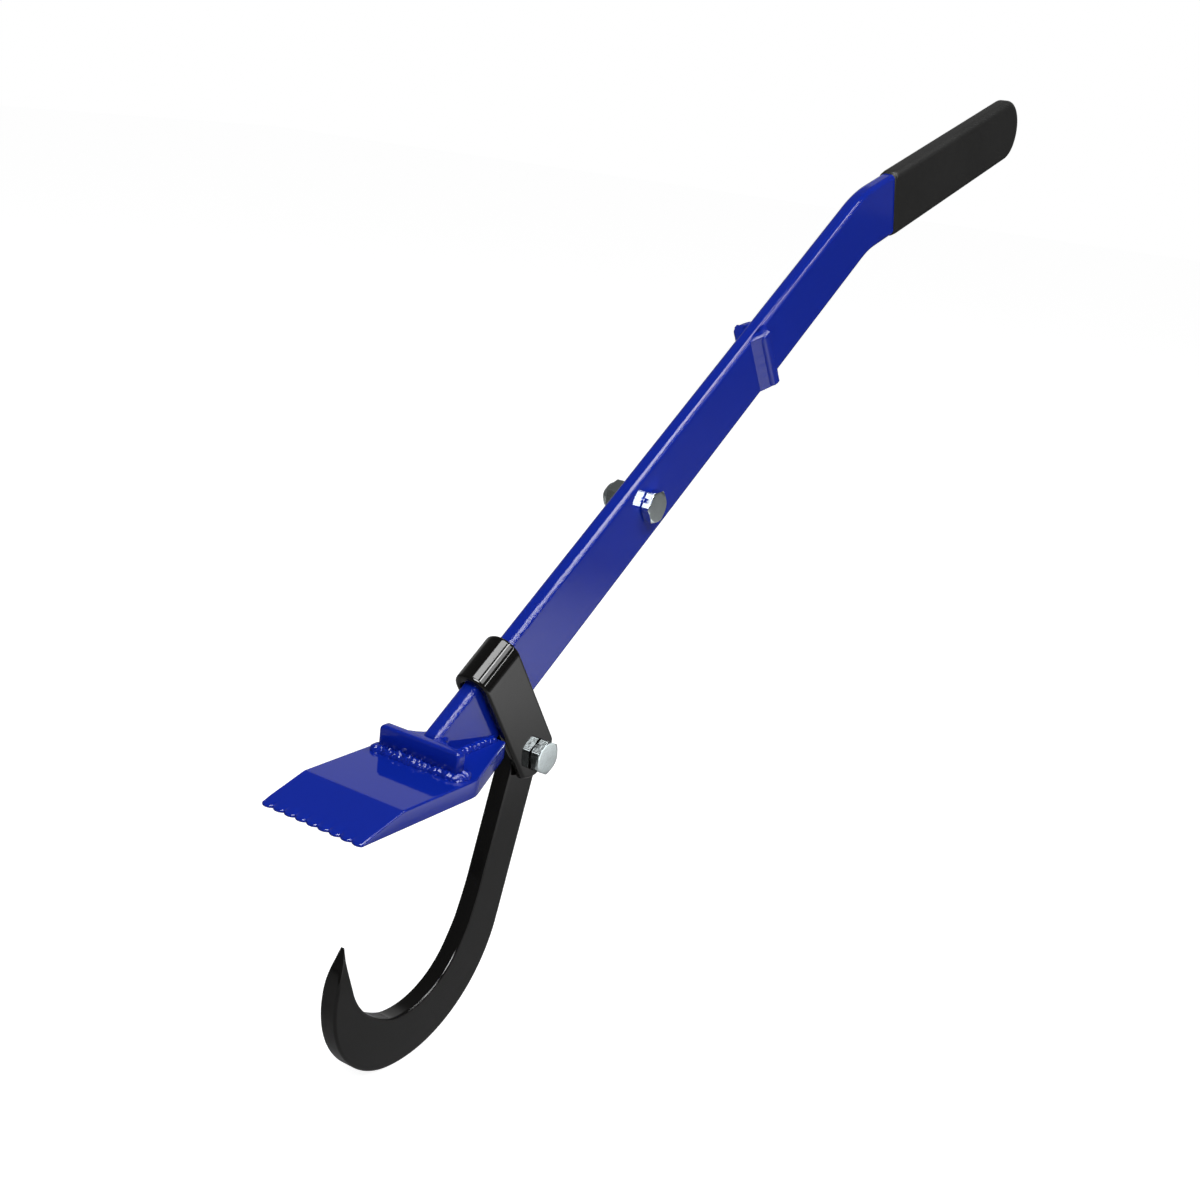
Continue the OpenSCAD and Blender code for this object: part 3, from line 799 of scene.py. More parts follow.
def make_blade(settings, places):
    """Blade: rings round the section, from the toothed edge to the tail.

    The top is level and falls to the edge along the bevel. The half width is level and then falls
    along the taper. Both turns are eased by a logarithm of an exponential. Near the edge each
    point is drawn back by the depth of its tooth: the sag of a circle through the notches.
    """
    b = settings.blade
    front, tail, soft = places.front, places.tail, b.softness
    tip = b.edge * 0.5
    crease, crease_ease = front + b.bevel, 0.35 * MM
    taper_at, taper_ease = tail - b.taper, 1.3 * MM
    x = np.concatenate(
        [
            front + tip * (1 - np.cos(np.linspace(0, QUARTER, 7))),
            front + np.array([1.4, 2.4, 3.6, 5.0, 7.0, 10, 15, 20, 25, 27]) * MM,
            crease + np.linspace(-1.2, 1.2, 9) * MM,
            np.linspace(crease + 6 * MM, taper_at - 8 * MM, 8),
            taper_at + np.linspace(-5, 5, 15) * MM,
            np.linspace(taper_at + 8 * MM, tail - 2 * MM, 8),
            tail - soft + soft * np.sin(np.linspace(0, QUARTER, 6)),
        ]
    )
    narrowing = (b.wide - b.tail) / 2 / b.taper
    half = b.wide / 2 - narrowing * taper_ease * np.logaddexp(0, (x - taper_at) / taper_ease)
    slope = (b.thick - b.edge) / b.bevel
    top = b.thick - slope * crease_ease * np.logaddexp(0, (crease - x) / crease_ease)
    squeeze = soft * (1 - round_over((tail - x) / soft))
    blunt = round_over((x - front) / tip)
    low = top / 2 * (1 - blunt) + squeeze
    top = top / 2 * (1 + blunt) - squeeze
    half = half - squeeze
    radius = np.minimum(soft, (top - low) / 2 * 0.98)
    flat, top, low, r = (v[:, None] for v in (half - radius, top, low, radius))
    per_tooth = 15
    across = np.linspace(-1, 1, per_tooth * b.teeth)[None, :]
    ys, zs = [], []
    for side, face, corners in ((-1, top, (1, 2)), (1, low, (3, 4))):
        ys.append(side * flat * across)
        zs.append(face + 0 * across)
        for k in corners:
            angle = np.linspace(0, QUARTER, 6) + k * QUARTER
            ys.append(side * flat + r * np.cos(angle))
            zs.append((top - r if k in (1, 4) else low + r) + r * np.sin(angle))
    y, z = np.concatenate(ys, 1), np.concatenate(zs, 1)
    pitch = b.wide / b.teeth
    bow = (pitch**2 / 4 + b.tooth_depth**2) / (2 * b.tooth_depth)
    off = (np.clip(y, -b.wide / 2, b.wide / 2) + b.wide / 2) % pitch - pitch / 2
    sag = bow - np.sqrt(np.maximum(bow**2 - off**2, 0))
    tooth_long = 7 * MM
    fade = 1 - smooth_step((x[:, None] - front) / tooth_long)
    piece = tube("blade_body", np.stack([x[:, None] + sag * fade, y, z], -1))
    weld_seam(piece)
    hand_over(piece, "blue_paint", "lever", "blade_plate")


def make_rib(settings, places):
    """Stop rib: an upright plate on the blade with its two top corners rounded."""
    b = settings.blade
    loop = cut_loop(b.rib_long, 2 * b.rib_high, 2.6 * MM, 0.6 * MM, axis=1)

    def place(a, up, c):
        return np.stack([places.rib + c, a, b.thick + up], -1)

    piece = slab("rib_plate", loop, place, b.rib_thick, (1.5 * MM, 1.5 * MM))
    weld_seam(piece)
    hand_over(piece, "blue_paint", "lever", "stop_rib")


def make_bar(settings, places):
    """Flat bar: a rounded rectangle carried along the bent line, cut at its foot by the blade's top
    and the rib's back, and closed by a square end inside the grip."""
    bar = settings.bar
    bend_end = places.handle_start()
    loop = rounded_loop(bar.wide, bar.high, bar.edge, steps=7, side_points=14)
    y, n = loop[:, 0], loop[:, 1]
    below = n - bar.high / 2
    at_rib = -(bar.nose + below * math.cos(bar.rise)) / math.sin(bar.rise)
    start = np.maximum(below * math.tan(bar.rise), at_rib)
    foot_end = 46 * MM
    foot = start + (foot_end - start) * np.linspace(0, 1, 9)[:, None]
    stations = np.concatenate(
        [
            np.linspace(foot_end, bar.straight, 40)[1:],
            np.linspace(bar.straight, bend_end, 20)[1:],
            np.linspace(bend_end, bend_end + bar.handle - bar.high / 2, 6)[1:],
        ]
    )
    s = np.concatenate([foot, np.repeat(stations[:, None], len(n), 1)])
    points = places.on_bent_bar(s, y, n)
    # A rolled and bent bar is never dead straight: its edges wander by hundredths of a millimetre
    wave_long, wave_high = 90 * MM, 0.05 * MM
    wander = wave_high * ripple_noise(points, wave_long, 11, 2)
    wander *= smooth_step((s - 60 * MM) / (40 * MM)) * np.sign(n)
    piece = tube("bar_body", points + wander[..., None] * places.up)
    # Mill scale shows along the rounded edges, and fades out past the welds at the foot
    edge = smooth_step((np.abs(n) - bar.high / 2 + bar.edge * 1.05) / (bar.edge * 0.55))
    far_scale = 0.04
    near = 1 - smooth_step((s - 95 * MM) / (75 * MM))
    mark_rough(piece, edge * (far_scale + (1 - far_scale) * near))
    hand_over(piece, "blue_paint", "lever", "lever_bar")


def make_lugs(settings, places):
    """Side lugs: two small plates standing out from the bar's sides."""
    bar = settings.bar
    loop = cut_loop(2 * bar.lug_out, bar.lug_high, 1.6 * MM, 0.5 * MM, axis=0)
    for name, side in SIDES:

        def place(a, up, c):
            return places.on_bar(bar.lug_at + c, side * (bar.wide / 2 + a), up)

        piece = slab("lug_plate_" + name, loop, place, bar.lug_thick, (4.6 * MM, 0.8 * MM))
        weld_seam(piece)
        hand_over(piece, "blue_paint", "lever", "lug_" + name)


def make_grip(settings, places):
    """Grip sleeve: the outline of the handle's end, straight sides and a half circle, grown by the
    wall and with its edges rounded over as dipping leaves them. Its open end is cut square, and
    drawn in there by a bell curve of the distance."""
    bar = settings.bar
    wall = bar.grip_wall
    middle = bar.handle - bar.high / 2
    radius = bar.edge + wall
    start = bar.grip_gap

    def loop(inset):
        r = bar.high / 2 + wall - inset
        arc = np.linspace(-QUARTER, QUARTER, 49)
        side = np.linspace(0, 1, 40)
        low = np.stack([start + (middle - start) * side, -r + 0 * side], -1)
        cap = np.stack([middle + r * np.cos(arc), r * np.sin(arc)], -1)
        return np.concatenate([low, cap[1:-1], low[::-1] * np.array([1, -1])], 0)

    def place(a, up, c):
        y = c - (bar.wide / 2 + wall)
        lip_deep, lip_long = 0.35 * MM, 1.1 * MM
        lip = lip_deep * np.exp(-(((a - start) / lip_long) ** 2))
        s = places.handle_start() + a
        return places.on_bent_bar(s, y - 0.6 * lip * np.sign(y), up - np.sign(up) * lip)

    piece = slab("grip_cover", loop, place, bar.wide + 2 * wall, (radius, radius), steps=8)
    hand_over(piece, "grip_rubber", "lever", "grip_sleeve")


def make_collar(settings, places):
    """Slide collar: a strip carried down one leg, over a half circle and down the other.

    Its section is a rounded rectangle as wide as the chord of the leg's rounded end allows.
    """
    c = settings.collar
    mean = (places.inner + places.outer) / 2
    low = -places.drop - c.leg_end
    leg, arch = places.crown - low, math.pi * mean
    total = 2 * leg + arch
    near_end = np.array([0, 0.15, 0.4, 0.8, 1.4, 2.2, 3.2, 4.5, 6, 7, 8, 8.6, 9.5, 12]) * MM
    down = np.concatenate([near_end, np.linspace(14 * MM, leg, 18)])
    q = np.concatenate([down, np.linspace(leg, leg + arch, 49)[1:-1], total - down[::-1]])
    angle = np.clip((q - leg) / mean, 0, math.pi)
    y = -mean * np.cos(angle)
    over = places.crown + mean * np.sin(angle)
    n = np.select([q <= leg, q >= leg + arch], [low + q, low + total - q], over)
    off = np.stack([-np.cos(angle), np.sin(angle)], -1)
    to_end = np.minimum(q, total - q)
    half = np.minimum(c.wide / 2, c.end_radius * round_over(to_end / c.end_radius))
    least, soft = 0.2 * MM, 2.0 * MM
    half = np.maximum(half, least)
    thick = c.thick - 2 * soft * (1 - round_over(to_end / soft))
    loop = rounded_loop(2 * half, thick, np.minimum(soft, np.minimum(half, thick / 2) * 0.96))
    s, d = places.collar + loop[..., 0], loop[..., 1]
    rings = places.on_bar(s, y[:, None] + d * off[:, :1], n[:, None] + d * off[:, 1:])
    hand_over(tube("collar_strap", rings), "black_paint", "collar", "slide_collar")


def hook_lines(hook):
    """The hook's outer edge in its own plane, pivot at the origin and shank straight down: points,
    headings and lengths along it. Each stretch is an arc: the heading falls by the turn, and the
    point moves by radius * (difference of the sines, difference of the cosines) of the
    headings."""
    back = hook.wide / 2 - hook.shift
    where = [np.array([[back, 0.0]]), np.array([[back, -hook.shank]])]
    heading = [np.array([-QUARTER]), np.array([-QUARTER])]
    run = [np.array([0.0]), np.array([hook.shank])]
    for radius, angle, steps in (
        (hook.belly_radius, hook.belly_turn, 60),
        (hook.throat_radius, hook.throat_turn, 60),
        (hook.point_radius, hook.point_turn, 40),
    ):
        (x, z), last = where[-1][-1], heading[-1][-1]
        t = np.arange(1, steps + 1) / steps
        h = last - angle * t
        x = x + radius * (math.sin(last) - np.sin(h))
        z = z + radius * (np.cos(h) - math.cos(last))
        where.append(np.stack([x, z], -1))
        heading.append(h)
        run.append(run[-1][-1] + radius * angle * t)
    return np.concatenate(where), np.concatenate(heading), np.concatenate(run)


def make_hook(settings, places):
    """Cant hook: a rounded rectangle carried along the outer edge, as wide as the hook is there.

    The width swells from shank to belly by a smooth step and narrows to the point as a parabola.
    Near the point the thickness falls along the ground faces as a sine. Above the pivot the
    section is the chord of the eye.
    """
    h = settings.hook
    where, heading, run = hook_lines(h)
    total = run[-1]
    shank = np.linspace(0, h.shank, 40)[:-1]
    s = np.concatenate([shank, run[1:-1], total - np.array([0.9, 0.5, 0.2, 0.05]) * MM])
    s = np.unique(np.round(s, 7))
    px, pz = np.interp(s, run, where[:, 0]), np.interp(s, run, where[:, 1])
    head = np.interp(s, run, heading)
    swell_from, swell_over = 0.75 * h.shank, 0.6 * h.belly_radius
    swell = smooth_step((s - swell_from) / swell_over)
    u = np.clip((s - total + h.point_long) / h.point_long, 0, 1)
    wide = (h.wide + (h.belly - h.wide) * swell) * (1 - u * u)
    ground = np.sin(QUARTER * np.clip((total - s) / (1.5 * h.grind), 0, 1))
    least = 0.55 * h.point_thick
    thick = least + (h.thick - least) * ground
    # Eye: chords of the circle about the pivot, clipped by the shank's outer line
    fore, aft = h.wide / 2 + h.shift, h.wide / 2 - h.shift
    lift = fore * np.sin(np.linspace(0.985 * QUARTER, 0.03, 22))
    chord = np.sqrt(np.maximum(fore**2 - lift**2, 0))
    rear = np.minimum(aft, chord)
    eye_soft = 1.0 * MM
    eye_thick = h.thick - 2 * eye_soft * (1 - round_over((fore - lift) / eye_soft))
    px, pz = np.concatenate([rear, px]), np.concatenate([lift, pz])
    head = np.concatenate([np.full(len(lift), -QUARTER), head])
    wide = np.concatenate([chord + rear, wide])
    thick = np.concatenate([eye_thick, thick])
    edge_soft = 1.3 * MM
    soft = np.minimum(edge_soft, np.minimum(wide, thick) / 2 * 0.7)
    loop = rounded_loop(wide, thick, soft)
    inward = np.stack([np.sin(head), -np.cos(head)], -1)
    offset = wide[:, None] / 2 + loop[..., 0]
    x = px[:, None] + offset * inward[:, :1]
    z = pz[:, None] + offset * inward[:, 1:]
    wx = places.pivot[0] + x * math.cos(h.lean) + z * math.sin(h.lean)
    wz = places.pivot[2] - x * math.sin(h.lean) + z * math.cos(h.lean)
    # The belly's lowest point would dip 0.05 mm below the construction's
    wz = np.maximum(wz, CAD_BOX[0][2] + 0.002 * MM)
    piece = tube("hook_body", np.stack([wx, loop[..., 1], wz], -1))
    bore(piece, places.pivot, settings.bolts.across / 2 + PLAY, h.thick * 2)
    hand_over(piece, "black_paint", "hook", "cant_hook")


def bolt_frame(places, spot, side, seat=0.0):
    """Places a turned piece on the lever at a spot (along, below) of the bar: its axis along Y
    towards a side, counted from its seat, and its x along the bar."""
    along, drop = spot

    def place(x, y, z):
        return places.on_bar(along + x, side * (seat + z), -drop + y)

    return place


def chamfer(radius, height, out, up):
    """Nine points of a profile along a straight slope, from a start by a step out and up."""
    return [(radius + f * out, height + f * up) for f in np.linspace(0, 1, 9)]


def make_bolt(settings, places, name, body, spot, seats, turns):
    """Hexagon bolt, lock nut and insert, turned about Y at a spot of the bar.

    The head starts at the first seat and the nut at the second. The head is the smaller of a
    hexagon and a chamfer cone, on a low washer face. The nut's top is rolled over its insert.
    """
    b = settings.bolts
    half = b.flats / 2
    corner = half / math.cos(math.pi / 6)
    washer = half - 0.7 * MM
    head = [(NEAR_AXIS, 0.0), (washer, 0.0), (washer, 0.45 * MM), (half - 0.1 * MM, 0.5 * MM)]
    head += [(corner, 0.75 * MM), (corner, b.head - 1.3 * MM)]
    head += chamfer(corner + 0.2 * MM, b.head - 0.75 * MM, -1.3 * MM, 0.65 * MM)
    head += [(half - 0.6 * MM, b.head - 0.02 * MM), (half - 1.1 * MM, b.head), (NEAR_AXIS, b.head)]
    near = bolt_frame(places, spot, -1, seats[0])
    piece = turned(name + "_head", head, near, 144, hexagon(b.flats, -turns[0]))
    join(piece, turned_thread(settings, places, name + "_shank", spot, seats))
    hand_over(piece, "zinc", body, name + "_bolt")
    far = bolt_frame(places, spot, 1, seats[1])
    hole = b.across / 2 + PLAY
    top = b.nut + b.rim
    roll, outer, cup = 1.9 * MM, half - 0.9 * MM, half - 1.9 * MM
    dome = np.linspace(0, QUARTER, 9)
    nut = [(hole, 0.0), (half - 0.5 * MM, 0.0), *chamfer(half - 0.3 * MM, 0.0, 2.4 * MM, 0.9 * MM)]
    nut += [(corner, b.nut * 0.5)]
    nut += chamfer(corner + 0.2 * MM, b.nut - 1.2 * MM, -2.4 * MM, 1.1 * MM)
    nut += [(outer, b.nut), (outer, b.nut + 0.2 * MM)]
    nut += [(outer - roll * (1 - math.cos(a)), top - roll * (1 - math.sin(a))) for a in dome]
    nut += [(cup, top - 0.15 * MM), (cup, b.nut - 1 * MM), (hole, b.nut - 1 * MM)]
    flats = hexagon(b.flats, -turns[1])
    piece = turned(name + "_nut_body", nut, far, 144, flats, ring=True)
    hand_over(piece, "zinc", body, name + "_nut")
    floor, edge, face = b.nut - 0.95 * MM, cup - 0.02 * MM, top - 0.42 * MM
    ring = [(hole, floor), (edge, floor), (edge, top - 0.65 * MM)]
    ring += [(cup - 0.4 * MM, face), (hole + 0.3 * MM, face), (hole, top - 0.6 * MM)]
    piece = turned(name + "_nut_ring", ring, far, 96, ring=True)
    hand_over(piece, "nylon", body, name + "_nut_insert")


def turned_thread(settings, places, name, spot, seats):
    """Shank and thread: radius less the depth times (1 + cos) / 2 of the angle round the helix,
    which starts just past the plate that the bolt holds. Its end has a chamfer."""
    b = settings.bolts
    start, stop = seats[0] + 0.4 * MM, seats[1] + b.nut + b.rim + b.out
    depth, run_in, chamfer_long = 0.62 * MM, 0.5 * MM, 1.0 * MM
    angle = np.linspace(0, math.tau, 48, endpoint=False)[None, :]
    count = int((stop - start) / b.pitch * 10)
    plain = [-seats[0] - 0.3 * MM, start - run_in]
    z = np.concatenate([plain, np.linspace(start, stop, count)])[:, None]
    wave = 0.5 + 0.5 * np.cos(math.tau * z / b.pitch - angle)
    cut = depth * wave * smooth_step((z - start) / run_in)
    slope = np.clip(z - (stop - chamfer_long), 0, None) * 0.9
    r = b.across / 2 - np.maximum(cut, slope)
    r = np.concatenate([r, np.full_like(angle, NEAR_AXIS)])
    z = np.concatenate([z + 0 * angle, np.full_like(angle, stop)])
    return tube(name, bolt_frame(places, spot, 1)(r * np.cos(angle), r * np.sin(angle), z))


def make_stop_bolt(settings, places):
    """Stop bolt: through the bar, with its nut standing off the bar's far side."""
    b, side = settings.bolts, settings.bar.wide / 2
    spot, seats = (b.stop_at, 0.0), (side, side + b.stop_gap)
    make_bolt(settings, places, "stop", "lever", spot, seats, (b.stop_turn, b.stop_nut_turn))


def make_pivot_bolt(settings, places):
    """Pivot bolt: through the collar's legs and the hook's eye."""
    spot = (places.collar + settings.collar.shift, places.drop)
    seats, turns = (places.outer, places.outer), [settings.bolts.pivot_turn] * 2
    make_bolt(settings, places, "pivot", "collar", spot, seats, turns)


def make_rib_bead(settings, places):
    """Weld bead round the rib's foot."""
    b, w = settings.blade, settings.welds
    x0, x1, y1 = places.rib, places.rib_back, b.rib_long / 2
    corners = [[x0, -y1], [x1, -y1], [x1, y1], [x0, y1]]
    path, tangent = corner_path(corners, 0.8 * MM, BEAD_STEP)
    out = np.stack([tangent[:, 1], -tangent[:, 0], 0 * tangent[:, 0]], -1)
    path = np.concatenate([path, np.full((len(path), 1), b.thick)], 1)
    legs = [w.leg * 0.92] * 2
    piece = bead("rib_bead", (path, out, (0, 0, 1)), legs, w.ripple, 3, 0.28, closed=True)
    mark_rough(piece, 1.0)
    hand_over(piece, "blue_paint", "lever", "rib_weld")


def make_foot_bead(settings, places, name, side, seed):
    """Weld bead along one side of the bar's foot, from the nose's fill to the blade's tail. Its
    legs swell towards the nose by a falling exponential."""
    w, height = settings.welds, settings.blade.thick
    start, end = places.rib_back + w.fill - 2.0 * MM, places.tail - 2.2 * MM
    usual_long = 46 * MM
    x = np.linspace(start, end, int(usual_long / BEAD_STEP))
    path = np.stack([x, 0 * x + side * settings.bar.wide / 2, 0 * x + height], -1)
    out = np.repeat([[0.0, side, 0.0]], len(x), 0)
    leg = w.leg * (0.86 + 0.7 * np.exp(-(x - start) / (7 * MM)))
    piece = bead("foot_bead_" + name, (path, out, (0, 0, 1)), (leg, leg), w.ripple, seed, 0.14)
    mark_rough(piece, 0.6)
    hand_over(piece, "blue_paint", "lever", "foot_weld_" + name)


def make_lug_beads(settings, places, name, side, seed):
    """The two fillets beside a lug. The front one swells over the lug's front edge on to its outer
    face. The scale on them grows towards their tops, by a smooth step."""
    bar, w = settings.bar, settings.welds
    n = np.arange(-bar.lug_high / 2, bar.high / 2 - 0.2 * MM, BEAD_STEP)
    front, rear = bar.lug_at, bar.lug_at + bar.lug_thick
    halves = []
    for end, edge, way, lap, short, belly in (
        (name, front, -1, 4.8 * MM, 0.05 * MM, 0.06),
        ("rear", rear, 1, 1.2 * MM, 1.2 * MM, 0.35),
    ):
        path = places.on_bar(edge - way * lap, side * bar.wide / 2, n)
        route = (path, np.repeat([way * places.along], len(n), 0), (0, side, 0))
        legs = (w.lug_leg + lap, bar.lug_out - short)
        ends = {"belly": belly, "tip": 0.6 * MM, "sink": 2.4 * MM}
        halves.append(bead("lug_bead_" + end, route, legs, w.ripple, seed, 0.012, **ends))
    piece, other = halves
    join(piece, other)
    high = (points_of(piece) - places.middle) @ places.up
    low_scale, from_top, over = 0.1, 6 * MM, 5 * MM
    grown = smooth_step((high - bar.high / 2 + from_top) / over)
    mark_rough(piece, low_scale + (1 - low_scale) * grown)
    hand_over(piece, "blue_paint", "lever", "lug_weld_" + name)


def make_side_beads(settings, places):
    """Weld beads along both sides of the bar's foot and beside both lugs."""
    for (name, side), seed in zip(SIDES, (21, 31)):
        make_foot_bead(settings, places, name, side, seed)
        make_lug_beads(settings, places, name, side, seed + 4)


def make_nose_fill(settings, places):
    """Fill in the corner between the rib's back and the bar's nose: level slices from the blade up.

    In a slice the reach beside the bar falls along it as (1 - t) to the power 1.7, which hollows
    the slope. The slices spread at the foot by a falling exponential and draw in at the top over
    a quarter circle.
    """
    b, w, side = settings.blade, settings.welds, settings.bar.wide / 2
    top, soft = b.rib_high - 1.3 * MM, 2.2 * MM
    bend = np.sin(np.linspace(0, QUARTER, 10))[1:]
    up = np.concatenate([np.linspace(-SUNK, top - soft, 18), top - soft * (1 - bend)])[:, None]
    flare, flare_high = 1.6 * MM, 2.5 * MM
    spread = flare * (1 - np.exp(-np.maximum(up, 0) / flare_high))
    draw = soft * (1 - round_over((top - up) / soft)) + spread
    t = np.linspace(0, 1, 30)[None, :]
    x = (w.fill - 0.8 * draw) * t
    beside = 1.3 * MM
    y = side + beside + (w.reach - beside) * (1 - t) ** 1.7 - draw * (0.35 + 0.65 * (1 - t))
    spots = np.stack([x, y, 0 * x + up], -1)
    lump_high, lump_size = 0.22 * MM, 7 * MM
    y = y + lump_high * ripple_noise(spots, lump_size, 77, 2)
    y = np.maximum(y, side - 0.3 * MM)
    right = np.stack([places.rib_back + x, -y, b.thick + up + 0 * x], -1)
    left = (right * np.array([1, -1, 1]))[:, ::-1]
    ends = [
        end * np.array([1, 0, 1]) + np.array([0, way * (side - 0.4 * MM), 0])
        for end, way in ((right[:, -1:], -1), (left[:, :1], 1))
    ]
    inner = [end - np.array([SUNK, 0, 0]) for end in (left[:, -1:], right[:, :1])]
    piece = tube("nose_fill", np.concatenate([right, *ends, left, *inner], 1))
    mark_sharp(piece, 50)
    mark_rough(piece, 0.25)
    hand_over(piece, "blue_paint", "lever", "nose_weld")


# Stage


def by_camera(tree, seen, unseen):
    """One number for what the camera looks at, and another for all other light."""
    path = add(tree, "ShaderNodeLightPath").outputs["Is Camera Ray"]
    return mixed(tree, "FLOAT", path, unseen, seen)


def stage_floor(settings):
    """Pale floor, level with the hook's lowest point. The camera sees it lifted to white. To all
    other light it is a mid grey, so that the gloss paint isn't milky with its reflection, with a
    pool of light that mirrors in the lever's right side."""
    stage, reach = settings.stage, 9.0
    low = CAD_BOX[0][2] - 0.2 * MM
    corners = [[x * reach, y * reach, low] for x, y in ((-1, -1), (1, -1), (1, 1), (-1, 1))]
    floor = make_object("studio_floor", corners, [[0, 1, 2, 3]], smooth=False)
    m, tree, skin = start_material(
        "studio_floor_finish",
        Base_Color=(*settings.finish.floor, 1),
        Roughness=0.9,
        Specular_IOR_Level=0.0,
        Emission_Color=(1, 1, 1, 1),
    )
    where = add(tree, "ShaderNodeTexCoord").outputs["Object"]
    flat = maths(tree, "MULTIPLY", where, (1, 2, 1), kind="VectorMath")
    pool_at = (0.36, -0.84, low)
    away = maths(tree, "DISTANCE", flat, pool_at, kind="VectorMath", output="Value")
    pool = ramp(tree, away, 0.02, 0.58, stage.pool, 0.0, "SMOOTHSTEP")
    feed(tree, skin["Emission Strength"], by_camera(tree, stage.lift, pool))
    floor.data.materials.append(m)
    floor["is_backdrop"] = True


def stage_air(settings):
    """World: white where the camera looks, otherwise a dim soft grey with a glow low behind the
    lever."""
    stage = settings.stage
    world = bpy.data.worlds.new("studio_air")
    bpy.context.scene.world = world
    world.use_nodes = True
    tree = world.node_tree
    tree.nodes.clear()
    where = add(tree, "ShaderNodeTexCoord").outputs["Generated"]
    up = add(tree, "ShaderNodeSeparateXYZ", Vector=where).outputs["Z"]
    air = ramp(tree, up, 0.0, 1.0, stage.low_air, stage.high_air, "SMOOTHSTEP")
    behind = (0.85, 0.53, 0.0)
    toward = maths(tree, "DOT_PRODUCT", where, behind, kind="VectorMath", output="Value")
    glow = ramp(tree, toward, 0.65, 0.88, 0.0, stage.glow, "SMOOTHSTEP")
    level_with = ramp(tree, up, 0.45, 0.70, 1.0, 0.0, "SMOOTHSTEP")
    strength = by_camera(tree, 1.0, maths(tree, "MULTIPLY_ADD", glow, level_with, air))
    sky = add(tree, "ShaderNodeBackground", Color=(1, 1, 1, 1), Strength=strength)
    add(tree, "ShaderNodeOutputWorld", Surface=sky.outputs["Background"])


def soft_light(name, power, place, size, target=(0.12, 0.0, 0.12), tilt=0.0, shine_only=True):
    """A rectangular soft light at a place, turned to a target and tilted about that line. The
    camera doesn't see it. One that only shines shows in gloss and lights nothing else."""
    lamp = bpy.data.lights.new(name, "AREA")
    lamp.energy = power
    lamp.shape = "RECTANGLE"
    lamp.size, lamp.size_y = size
    holder = bpy.data.objects.new(name, lamp)
    holder.location = place
    aim = (Vector(target) - Vector(place)).to_track_quat("-Z", "Y")
    holder.rotation_euler = (aim.to_matrix() @ Matrix.Rotation(tilt, 3, "Z")).to_euler()
    holder.visible_camera = False
    holder.visible_diffuse = not shine_only
    bpy.context.scene.collection.objects.link(holder)


def stage_camera():
    """Camera at the photograph's viewing angle, found by fitting a pinhole camera to it."""
    lens = bpy.data.cameras.new("photo_camera")
    lens.sensor_width = 36.0
    lens.lens = 49.986
    lens.clip_start = 0.01
    lens.clip_end = 50
    eye = bpy.data.objects.new("photo_camera", lens)
    bpy.context.scene.collection.objects.link(eye)
    place = Vector((-0.58184, -0.46441, 0.32617))
    ahead = Vector((0.81079, 0.51045, -0.28645)).normalized()
    right = ahead.cross(Vector((0.17806, 0.25109, 0.95144))).normalized()
    turn_to = Matrix((right, right.cross(ahead), -ahead)).transposed().to_4x4()
    eye.matrix_world = Matrix.Translation(place) @ turn_to
    bpy.context.scene.camera = eye


def make_stage(settings, places):
    """Floor, air, six soft lights and the camera."""
    stage = settings.stage
    stage_camera()
    stage_floor(settings)
    stage_air(settings)
    soft_light("key_light", stage.key, (-0.95, -0.60, 1.25), (0.9, 0.55), shine_only=False)
    soft_light("crown_light", stage.crown, (0.0, -0.30, 1.60), (0.9, 0.8), (0.06, 0.0, 0.1))
    soft_light("spark_light", stage.spark, (-1.0, -0.66, 1.20), (1.0, 0.7))
    soft_light("bank_light", stage.bank, (0.20, -1.15, 1.25), (0.7, 0.5))
    soft_light("top_light", stage.top, (0.40, -0.90, 1.50), (1.3, 0.15), shine_only=False)
    strip_at, level_target = (0.98, -1.5, 1.07), (0.98, 0.0, 1.07)
    tilt = settings.bar.rise
    soft_light("edge_light", stage.edge, strip_at, (1.8, 0.06), level_target, tilt)
    bpy.context.scene.view_settings.view_transform = "Standard"


# Operators


def build(context, *makers):
    """Runs makers on the scene's settings and the places worked out from them."""
    settings = context.scene.felling_lever
    for make in makers:
        make(settings, Places(settings))
    return {"FINISHED"}


class LEVER_OT_blade(bpy.types.Operator):
    """Builds the toothed blade and its stop rib"""

    bl_idname = "lever.blade"
    bl_label = "Blade and rib"
    bl_options = {"REGISTER", "UNDO"}

    def execute(self, context):
        return build(context, make_blade, make_rib)


class LEVER_OT_bar(bpy.types.Operator):
    """Builds the bent flat bar"""

    bl_idname = "lever.bar"
    bl_label = "Bar"
    bl_options = {"REGISTER", "UNDO"}

    def execute(self, context):
        return build(context, make_bar)


class LEVER_OT_lugs(bpy.types.Operator):
    """Builds the two side lugs"""

    bl_idname = "lever.lugs"
    bl_label = "Side lugs"
    bl_options = {"REGISTER", "UNDO"}

    def execute(self, context):
        return build(context, make_lugs)


class LEVER_OT_grip(bpy.types.Operator):
    """Builds the grip sleeve"""

    bl_idname = "lever.grip"
    bl_label = "Grip"
    bl_options = {"REGISTER", "UNDO"}

    def execute(self, context):
        return build(context, make_grip)


class LEVER_OT_collar(bpy.types.Operator):
    """Builds the slide collar"""

    bl_idname = "lever.collar"
    bl_label = "Slide collar"
    bl_options = {"REGISTER", "UNDO"}

    def execute(self, context):
        return build(context, make_collar)


class LEVER_OT_hook(bpy.types.Operator):
    """Builds the cant hook"""

    bl_idname = "lever.hook"
    bl_label = "Cant hook"
    bl_options = {"REGISTER", "UNDO"}

    def execute(self, context):
        return build(context, make_hook)


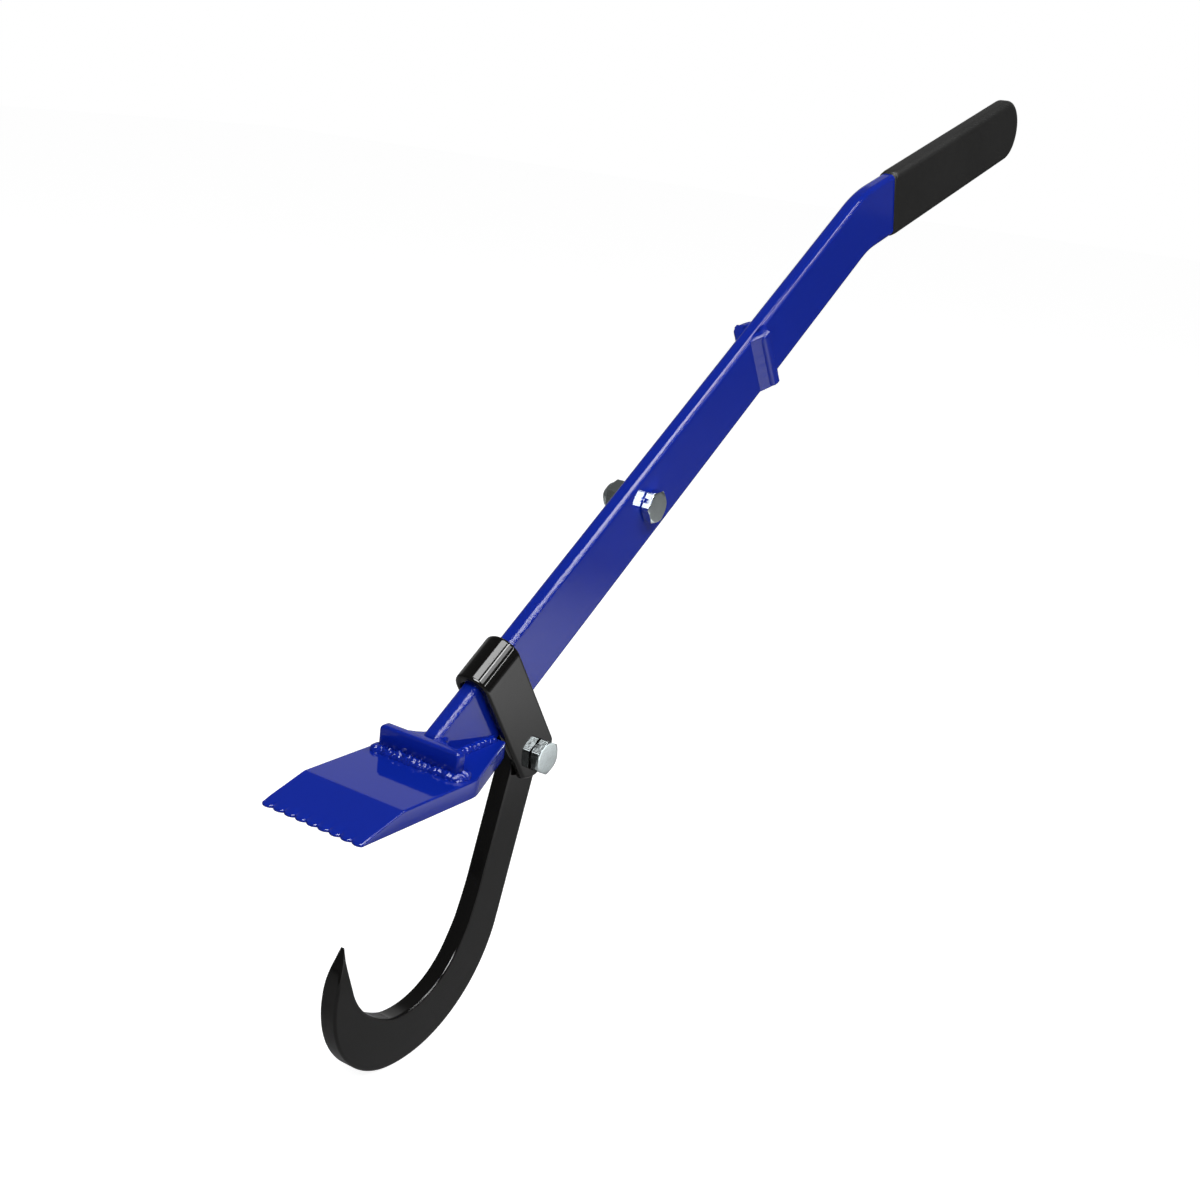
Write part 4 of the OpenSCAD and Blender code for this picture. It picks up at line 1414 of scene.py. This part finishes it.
class LEVER_OT_bolts(bpy.types.Operator):
    """Builds the stop bolt and the pivot bolt with their lock nuts"""

    bl_idname = "lever.bolts"
    bl_label = "Bolts and nuts"
    bl_options = {"REGISTER", "UNDO"}

    def execute(self, context):
        return build(context, make_stop_bolt, make_pivot_bolt)


class LEVER_OT_welds(bpy.types.Operator):
    """Builds the weld beads"""

    bl_idname = "lever.welds"
    bl_label = "Weld beads"
    bl_options = {"REGISTER", "UNDO"}

    def execute(self, context):
        return build(context, make_rib_bead, make_side_beads, make_nose_fill)


class LEVER_OT_stage(bpy.types.Operator):
    """Sets the floor, the lights and the camera"""

    bl_idname = "lever.stage"
    bl_label = "Stage"
    bl_options = {"REGISTER", "UNDO"}

    def execute(self, context):
        return build(context, make_stage)


OPERATORS = (
    LEVER_OT_blade,
    LEVER_OT_bar,
    LEVER_OT_lugs,
    LEVER_OT_grip,
    LEVER_OT_collar,
    LEVER_OT_hook,
    LEVER_OT_bolts,
    LEVER_OT_welds,
    LEVER_OT_stage,
)


def own_keys(settings):
    """Names of the properties that a group of settings has here."""
    return [key for key in settings.bl_rna.properties.keys() if key not in ("rna_type", "name")]


class LEVER_PT_panel(bpy.types.Panel):
    """Lists the lever's pieces in the sidebar"""

    bl_label = "Felling lever"
    bl_idname = "LEVER_PT_panel"
    bl_space_type = "VIEW_3D"
    bl_region_type = "UI"
    bl_category = "Felling lever"

    def draw(self, context):
        for operator in OPERATORS:
            self.layout.operator(operator.bl_idname)
        settings = context.scene.felling_lever
        for group in own_keys(settings):
            box = self.layout.box()
            box.label(text=group.capitalize())
            part = getattr(settings, group)
            for key in own_keys(part):
                box.prop(part, key)


CLASSES = (
    BladeSizes,
    BarSizes,
    CollarSizes,
    HookSizes,
    BoltSizes,
    WeldSizes,
    Finishes,
    StageSettings,
    LeverSettings,
    *OPERATORS,
    LEVER_PT_panel,
)


def register():
    """Registers the classes, and gives the scene the lever's settings."""
    for cls in CLASSES:
        bpy.utils.register_class(cls)
    bpy.types.Scene.felling_lever = bpy.props.PointerProperty(type=LeverSettings)


def unregister():
    """Takes back what register did."""
    del bpy.types.Scene.felling_lever
    for cls in reversed(CLASSES):
        bpy.utils.unregister_class(cls)


def main():
    register()
    for operator in OPERATORS:
        group, name = operator.bl_idname.split(".")
        getattr(getattr(bpy.ops, group), name)()
    boxes = {"cad": CAD_BOX, "visual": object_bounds()}
    plain = {key: [[float(v) for v in corner] for corner in box] for key, box in boxes.items()}


if __name__ == "__main__":
    main()
